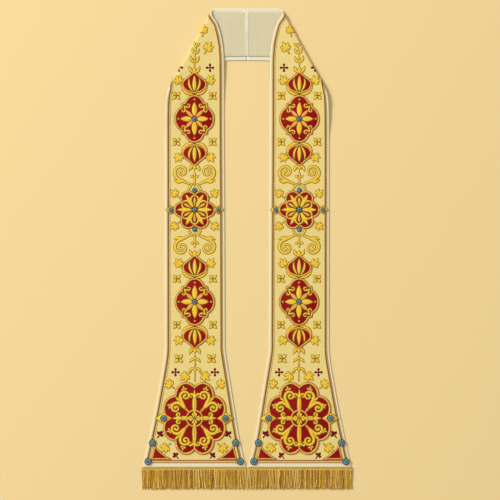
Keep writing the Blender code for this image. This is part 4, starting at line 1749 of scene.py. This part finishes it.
@dataclass
class Rosette(Medallion):
    """A six-foil with lily rays to its lobes, round a stone."""

    lobes: int = 6
    reach: float = 45.0
    cusp: float = 35.0
    stretch: float = 1.0
    first: float = 0.0

    def ornament(self, needle: Needle) -> None:
        """Six rays that split at their ends, and a drop towards each cusp."""
        base = self.ground_rise
        for step in range(self.lobes):
            angle = self.first + 60.0 * step
            for hand in (-1, 1):
                path = curl(polar(13.0, angle), angle + 12.0 * hand, 24.0, 118.0 * hand, 1.9)
                needle.stroke(path, 4.6, Shape.SCROLL, base=base)
            needle.stroke(line(polar(4.5, angle), polar(38.0, angle)), 9.2, base=base, rise=1.0)
            needle.stroke(line(polar(7.0, angle + 30.0), polar(27.0, angle + 30.0)), 6.2,
                          Shape.DROP, PEACH_THREAD, base)


@dataclass
class Roundel(Medallion):
    """The eight-foil roundel of the flared end, with a budded cross among scrolls."""

    lobes: int = 8
    reach: float = 71.5
    cusp: float = 60.5
    stretch: float = 1.15
    peach_radius: float = 2.5
    first: float = 22.5

    def ornament(self, needle: Needle) -> None:
        """A cross with fanned ends, and in each quarter two scrolls from one root."""
        base = self.ground_rise
        for half in needle.pair():
            Motif.lozenge(half.moved(Layout.ROUNDEL_ASIDE), 36.0, 24.0, Seat.POINT.value - 0.1)
            for up in (1, -1):
                self._quarter(half, up)
        for head, reach in ((90.0, 49.0), (270.0, 55.0), (0.0, 35.0), (180.0, 35.0)):
            tip = needle.moved(polar(reach - 3.0, head), head - 90.0)
            for hand in (-1, 1):
                path = coil(-3.0j, complex(8.2 * hand, 1.5), 5.0, -hand, 330.0, 0.3, 24)
                tip.stroke(path, 4.2, Shape.SCROLL, base=base)
            needle.stroke(line(polar(3.0, head), polar(reach + 13.0, head), 12), 9.6, base=base,
                          rise=1.3)
            needle.stroke(line(polar(9.0, head), polar(reach, head), 8), 1.1, Shape.LENS,
                          OLIVE_THREAD, base + 1.15, 0.35, 0.0)
            tip.stroke(line(-4.6 - 3.0j, 4.6 - 3.0j, 8), 3.4, Shape.BEAD, PEACH_THREAD,
                       base + 0.9, 0.9)
        ring = [polar(17.0, 10.0 * step) for step in range(36)]
        needle.cord(ring, 1.8, PEACH_THREAD, base + 0.3)
        Motif.blossom(needle, 25.0, 8, self.first, base + 0.9)

    def _quarter(self, needle: Needle, up: int) -> None:
        """Fills one quarter: two scrolls, a palmette between them and a leaf in each lobe."""
        base = self.ground_rise

        def at(across: float, high: float) -> complex:
            """A point of the quarter, above or below the cross's arms."""
            return complex(across, high * self.stretch * up)

        for start, eye, radius, hand in ((at(12.0, 9.0), at(39.5, 19.0), 12.4, -up),
                                         (at(11.0, 11.0), at(19.5, 41.0), 12.4, up)):
            Motif.volute(needle, 6.4, coil(start, eye, radius, hand, 470.0), base)
        for root, aim, size, spread, plump in ((at(30.0, 30.0), 45.0, 15.0, 88.0, 0.36),
                                               (at(50.0, 22.0), 24.0, 9.5, 96.0, 0.42),
                                               (at(22.6, 51.5), 76.0, 9.5, 96.0, 0.42)):
            Motif.fan(needle.moved(root, aim * up - 90.0), size, 3, spread, base, plump)


@dataclass
class Fruit:
    """A red pomegranate with a gold crown and two sepals, its stalk towards a quatrefoil."""

    name: str
    drop: float
    turn: float
    offset: float = 52.8
    enlarged: float = 1.1
    half_width: float = 24.5
    height: float = 43.0
    ground_rise: float = 0.75
    profile: Smooth = Smooth(((0.0, 0.0), (0.06, 0.42), (0.2, 0.82), (0.42, 1.0), (0.62, 0.88),
                              (0.8, 0.5), (0.92, 0.24), (1.0, 0.2)))

    def outline(self) -> Path:
        """The fruit's outline from its stalk round."""
        steps = 18
        right = [complex(self.half_width * self.profile(index / steps),
                         self.height * index / steps) for index in range(steps + 1)]
        left = [complex(-point.real, point.imag) for point in reversed(right[1:])]
        return right + left

    def dress(self, side: Side) -> Object:
        """Builds the fruit for one half."""
        work = Work()
        middle = Spot(0.0, self.drop).moved(polar(self.offset, 90.0 + self.turn), self.turn,
                                            self.enlarged)
        self.build(Needle(work, middle))
        return work.issue(f"{self.name}_embroidery", side, "red_applique", [self.name])

    def build(self, needle: Needle) -> None:
        """Stitches the fruit, its seeds, its crown and its sepals."""
        base = self.ground_rise
        outline = self.outline()
        needle.ground(shift_out(outline, -1.9), RED_THREAD, rise=base)
        needle.cord(shift_out(outline, -2.1), 1.7, PEACH_THREAD, 0.1)
        needle.cord(shift_out(outline, -0.2), 0.65, OLIVE_THREAD, 0.05, OLIVE_PITCH)
        for half in needle.pair():
            half.stroke(curl(2.6 + 4.5j, 48.0, 29.0, 62.0, 1.2), 4.2, base=base)
            half.stroke(curl(1.0 - 1.0j, 0.0, 34.0, 88.0, 1.2), 6.0)
            half.stroke(curl(complex(2.0, self.height - 2.0), 34.0, 15.0, 44.0), 5.8)
        needle.stroke(line(4.0j, self.height * 0.84j), 8.0, base=base, rise=1.0)
        needle.stroke(line(complex(0, self.height - 3.0), complex(0, self.height + 8.5)), 6.8)


@dataclass
class CornerPiece:
    """The red piece in the border's angle at the hem, its inner side hollow."""

    from_edge: float = 19.5
    from_hem: float = 17.6
    along: float = 41.0
    up: float = 30.0
    hollow: float = 0.62
    steps: int = 12

    def outline(self, hand: int) -> Path:
        """The piece's outline on one side of the band's axis."""
        half = StoleCut.half_width(StoleCut.HEM)
        slope = math.atan2(half - StoleCut.half_width(StoleCut.HEM - self.up), self.up)
        corner = complex(half - self.from_edge, self.from_hem)
        up_side = corner + self.up * complex(-math.sin(slope), math.cos(slope))
        bay = corner + (up_side - self.along - corner) * (1 - self.hollow)
        arch = [up_side * (1 - t) ** 2 + bay * 2 * t * (1 - t) + (corner - self.along) * t * t
                for t in (index / self.steps for index in range(self.steps + 1))]
        outline = [corner, *line(corner, up_side, 5)[1:-1], *arch,
                   *line(corner - self.along, corner, 5)[1:-1]]
        return outline if hand > 0 else [complex(-p.real, p.imag) for p in reversed(outline)]

    def dress(self, side: Side) -> None:
        """Builds both corner pieces of one half."""
        for place, hand in (("inner", -1), ("outer", 1)):
            work = Work()
            needle = Needle(work, Spot(0.0, StoleCut.HEM))
            outline = self.outline(hand)
            needle.ground(shift_out(outline, -1.0), RED_THREAD, rise=0.7)
            needle.cord(shift_out(outline, -1.0), 1.4, PEACH_THREAD, 0.1)
            needle.cord(shift_out(outline, 0.7), 0.5, OLIVE_THREAD, 0.05, OLIVE_PITCH)
            name = f"corner_piece_{place}"
            work.issue(f"{name}_embroidery", side, "red_applique", [name])


@dataclass
class Field:
    """What is stitched on the silk round the medallions, from the fold down to the hem.

    Sprigs have their places from their group's spot.  All but the top's leaves have a twin
    across the band's axis.
    """

    vines: tuple[Pair, ...] = ((350.0, 0.0), (508.0, 180.0))
    lower_stem: float = 738.0
    top_stem: tuple[Pair, ...] = ((111.7, 128.0), (111.5, 116.0), (111.0, 106.0), (110.2, 97.0),
                                  (109.2, 89.0), (108.0, 82.0), (106.6, 76.0))

    TOP_LEAVES = (Sprig(Motif.leaf, -27.0 - 88.0j, 22.0, 30.0),
                  Sprig(Motif.leaf, -18.5 - 51.0j, 20.0, 8.0))
    BY_TOP = (Sprig(Motif.crosslet, -33.0 - 127.0j, 19.0),)
    BY_QUATREFOIL = (Sprig(Motif.blossom, 38.5 + 49.0j, 22.0),
                     Sprig(Motif.leaf, 31.5 + 78.0j, 20.5, -32.0),
                     Sprig(Motif.blossom, 38.5 - 49.0j, 22.0),
                     Sprig(Motif.leaf, 31.5 - 78.0j, 20.5, -148.0))
    BY_VINE = (Sprig(Motif.leaf, 39.5 - 47.0j, 19.0, -48.0),)
    BY_LOWER_STEM = (Sprig(Motif.blossom, 35.0 - 8.0j, 24.0),
                     Sprig(Motif.leaf, 17.5 - 43.0j, 22.0, -128.0),
                     Sprig(Motif.crosslet, 42.0 - 37.0j, 19.0))
    BY_ROUNDEL = (Sprig(Motif.leaf, 52.0 + 70.0j, 21.0, -50.0),
                  Sprig(Motif.leaf, 58.0 - 60.5j, 22.0, -128.0),
                  Sprig(Motif.trefoil, 73.5 - 35.0j, 19.0, 35.0),
                  Sprig(Motif.trefoil, 38.5 - 80.0j, 17.0, -40.0))

    def build(self, side: Side) -> Object:
        """Builds one half's field embroidery.

        Args:
            side: which half it is for.

        Returns:
            The finished embroidery.
        """
        needle = Needle(Work(), Spot(0.0, 0.0))
        self._top(needle)
        for drop in (Layout.UPPER, Layout.LOWER):
            self._pairs(needle.at(Spot(0.0, drop)), self.BY_QUATREFOIL)
        for drop, turn in self.vines:
            self._vine(needle.at(Spot(0.0, drop, turn)))
        for half in needle.at(Spot(0.0, Layout.ROSETTE)).pair():
            Motif.lozenge(half.moved(Layout.ROSETTE_ASIDE), 23.0, 18.0, Seat.BRAID.value - 0.1)
        self._lower_stem(needle.at(Spot(0.0, self.lower_stem)))
        self._pairs(needle.at(Spot(0.0, Layout.ROUNDEL)), self.BY_ROUNDEL)
        return needle.work.issue("field_embroidery", side, "gold_fringe")

    def _pairs(self, needle: Needle, sprigs: Sequence[Sprig]) -> None:
        """Stitches sprigs on both sides of the band's axis."""
        for half in needle.pair():
            for sprig in sprigs:
                sprig.stitch(half)

    def _top(self, needle: Needle) -> None:
        """The stem that climbs to the fold, with its leaves, and two crosslets."""
        axis = StoleCut.axis_out(Spot.LEVEL_FROM)
        stem = [complex(out - axis, -drop) for out, drop in self.top_stem]
        needle.stroke(stem, 2.4, Shape.STEM, rim=0.7)
        for index, reach in ((1, 17.0), (3, 14.0), (5, 11.0)):
            way = math.degrees(cmath.phase(stem[index + 1] - stem[index]))
            leaf = needle.moved(stem[index])
            for hand in (-1, 1):
                leaf.stroke(curl(0j, way + 62.0 * hand, reach, -58.0 * hand), reach * 0.34)
            needle.bead(stem[index] + 1.5j, 2.4, GOLD_THREAD, 0.3)
        self._pairs(needle, self.BY_TOP)
        for leaf in self.TOP_LEAVES:
            leaf.stitch(needle)

    def _vine(self, needle: Needle) -> None:
        """A pair of scrolls that spring from one stem, with leaves in the room they leave."""
        for half in needle.pair():
            half.stroke(curl(24.0 - 17.5j, -24.0, 21.0, 62.0), 6.4)
            half.stroke(curl(4.0 - 24.0j, -38.0, 20.0, -50.0, 1.3), 4.6)
            Motif.volute(half, 6.4, coil(2.0 - 24.0j, 28.0 + 1.5j, 16.6, 1, 520.0))
        self._pairs(needle, self.BY_VINE)
        needle.stroke(line(-8.0j, -28.0j, 10), 3.4, Shape.STEM)
        Motif.fan(needle.moved(-13.0j), 15.0, 3, 80.0)

    def _lower_stem(self, needle: Needle) -> None:
        """The knotted stem over the roundel, with blossoms, leaves and crosslets."""
        needle.stroke(line(0j, -56.0j, 20), 1.9, Shape.STEM)
        for down, size in ((8.0, 2.6), (20.0, 2.2), (31.0, 2.6)):
            needle.bead(-1j * down, size, GOLD_THREAD, 0.3)
        for half in needle.pair():
            for down, reach in ((8.0, 15.0), (28.0, 18.0)):
                half.stroke(curl(-1j * down, 0.0, reach, -75.0), 4.8)
        self._pairs(needle, self.BY_LOWER_STEM)


@dataclass
class Studio:
    """The plain pale floor, the soft lights and the camera straight over the stole, in metres."""

    floor_size: float = 9.0
    floor_under: float = 0.0002
    floor_colour: str = "eed192"
    floor_roughness: float = 0.9
    surround: float = 0.54
    key_power: float = 820.0
    key_size: float = 2.2
    key_place: tuple[float, float, float] = (-6.6, 4.6, 5.2)
    camera_place: tuple[float, float, float] = (0.00639, -0.0016, 2.96)
    lens: float = 100.0

    def build(self) -> None:
        """Builds the floor, the lights and the camera."""
        self._floor()
        self._lights()
        self._camera()

    def _add(self, name: str, data: bpy.types.ID) -> Object:
        """Adds an object of some data to the scene."""
        added = bpy.data.objects.new(name, data)
        bpy.context.scene.collection.objects.link(added)
        return added

    def _floor(self) -> None:
        """Lays the floor, a hair under the cloth, of matt paper."""
        bm = bmesh.new()
        bmesh.ops.create_grid(bm, x_segments=1, y_segments=1, size=self.floor_size / 2)
        bmesh.ops.translate(bm, vec=(0.0, 0.0, -self.floor_under), verts=bm.verts)
        mesh = bpy.data.meshes.new("studio_floor")
        bm.to_mesh(mesh)
        bm.free()
        made = bpy.data.materials.new("matt_paper_sweep")
        made.use_nodes = True
        shader = made.node_tree.nodes["Principled BSDF"]
        shader.inputs["Base Color"].default_value = linear(self.floor_colour)
        shader.inputs["Roughness"].default_value = self.floor_roughness
        mesh.materials.append(made)
        self._add("studio_floor", mesh)

    def _lights(self) -> None:
        """Adds an even surround and one large softbox from the upper left."""
        world = bpy.data.worlds.new("studio_surround")
        bpy.context.scene.world = world
        world.use_nodes = True
        shade = world.node_tree.nodes["Background"]
        shade.inputs["Color"].default_value = (1.0, 1.0, 1.0, 1.0)
        shade.inputs["Strength"].default_value = self.surround
        key = bpy.data.lights.new("key_softbox", "AREA")
        key.energy = self.key_power
        key.size = self.key_size
        lamp = self._add("key_softbox", key)
        lamp.location = self.key_place
        lamp.rotation_euler = Vector(self.key_place).to_track_quat("Z", "Y").to_euler()

    def _camera(self) -> None:
        """Hangs the camera over the middle of the stole, as the photograph was taken."""
        data = bpy.data.cameras.new("over_camera")
        data.lens = self.lens
        camera = self._add("over_camera", data)
        camera.location = self.camera_place
        bpy.context.scene.camera = camera
        bpy.context.scene.view_settings.view_transform = "Standard"


def main() -> None:
    """Builds the whole dressed stole."""
    logging.basicConfig(level=logging.INFO, format="%(name)s: %(message)s")
    for side in Side:
        Panel().build(side)
        NeckLining().build(side)
        EdgeBraid().build(side)
        Fringe().build(side)
        Stones().build(side)
        for name, drop in (("upper_quatrefoil", Layout.UPPER), ("lower_quatrefoil", Layout.LOWER)):
            Quatrefoil(name, drop).dress(side)
            Fruit(f"{name}_fruit_above", drop, 0.0).dress(side)
            Fruit(f"{name}_fruit_below", drop, 180.0).dress(side)
        Rosette("rosette", Layout.ROSETTE).dress(side)
        Roundel("roundel", Layout.ROUNDEL).dress(side)
        CornerPiece().dress(side)
        Field().build(side)
    NeckLining().build_tack()
    Studio().build()


if __name__ == "__main__":
    main()
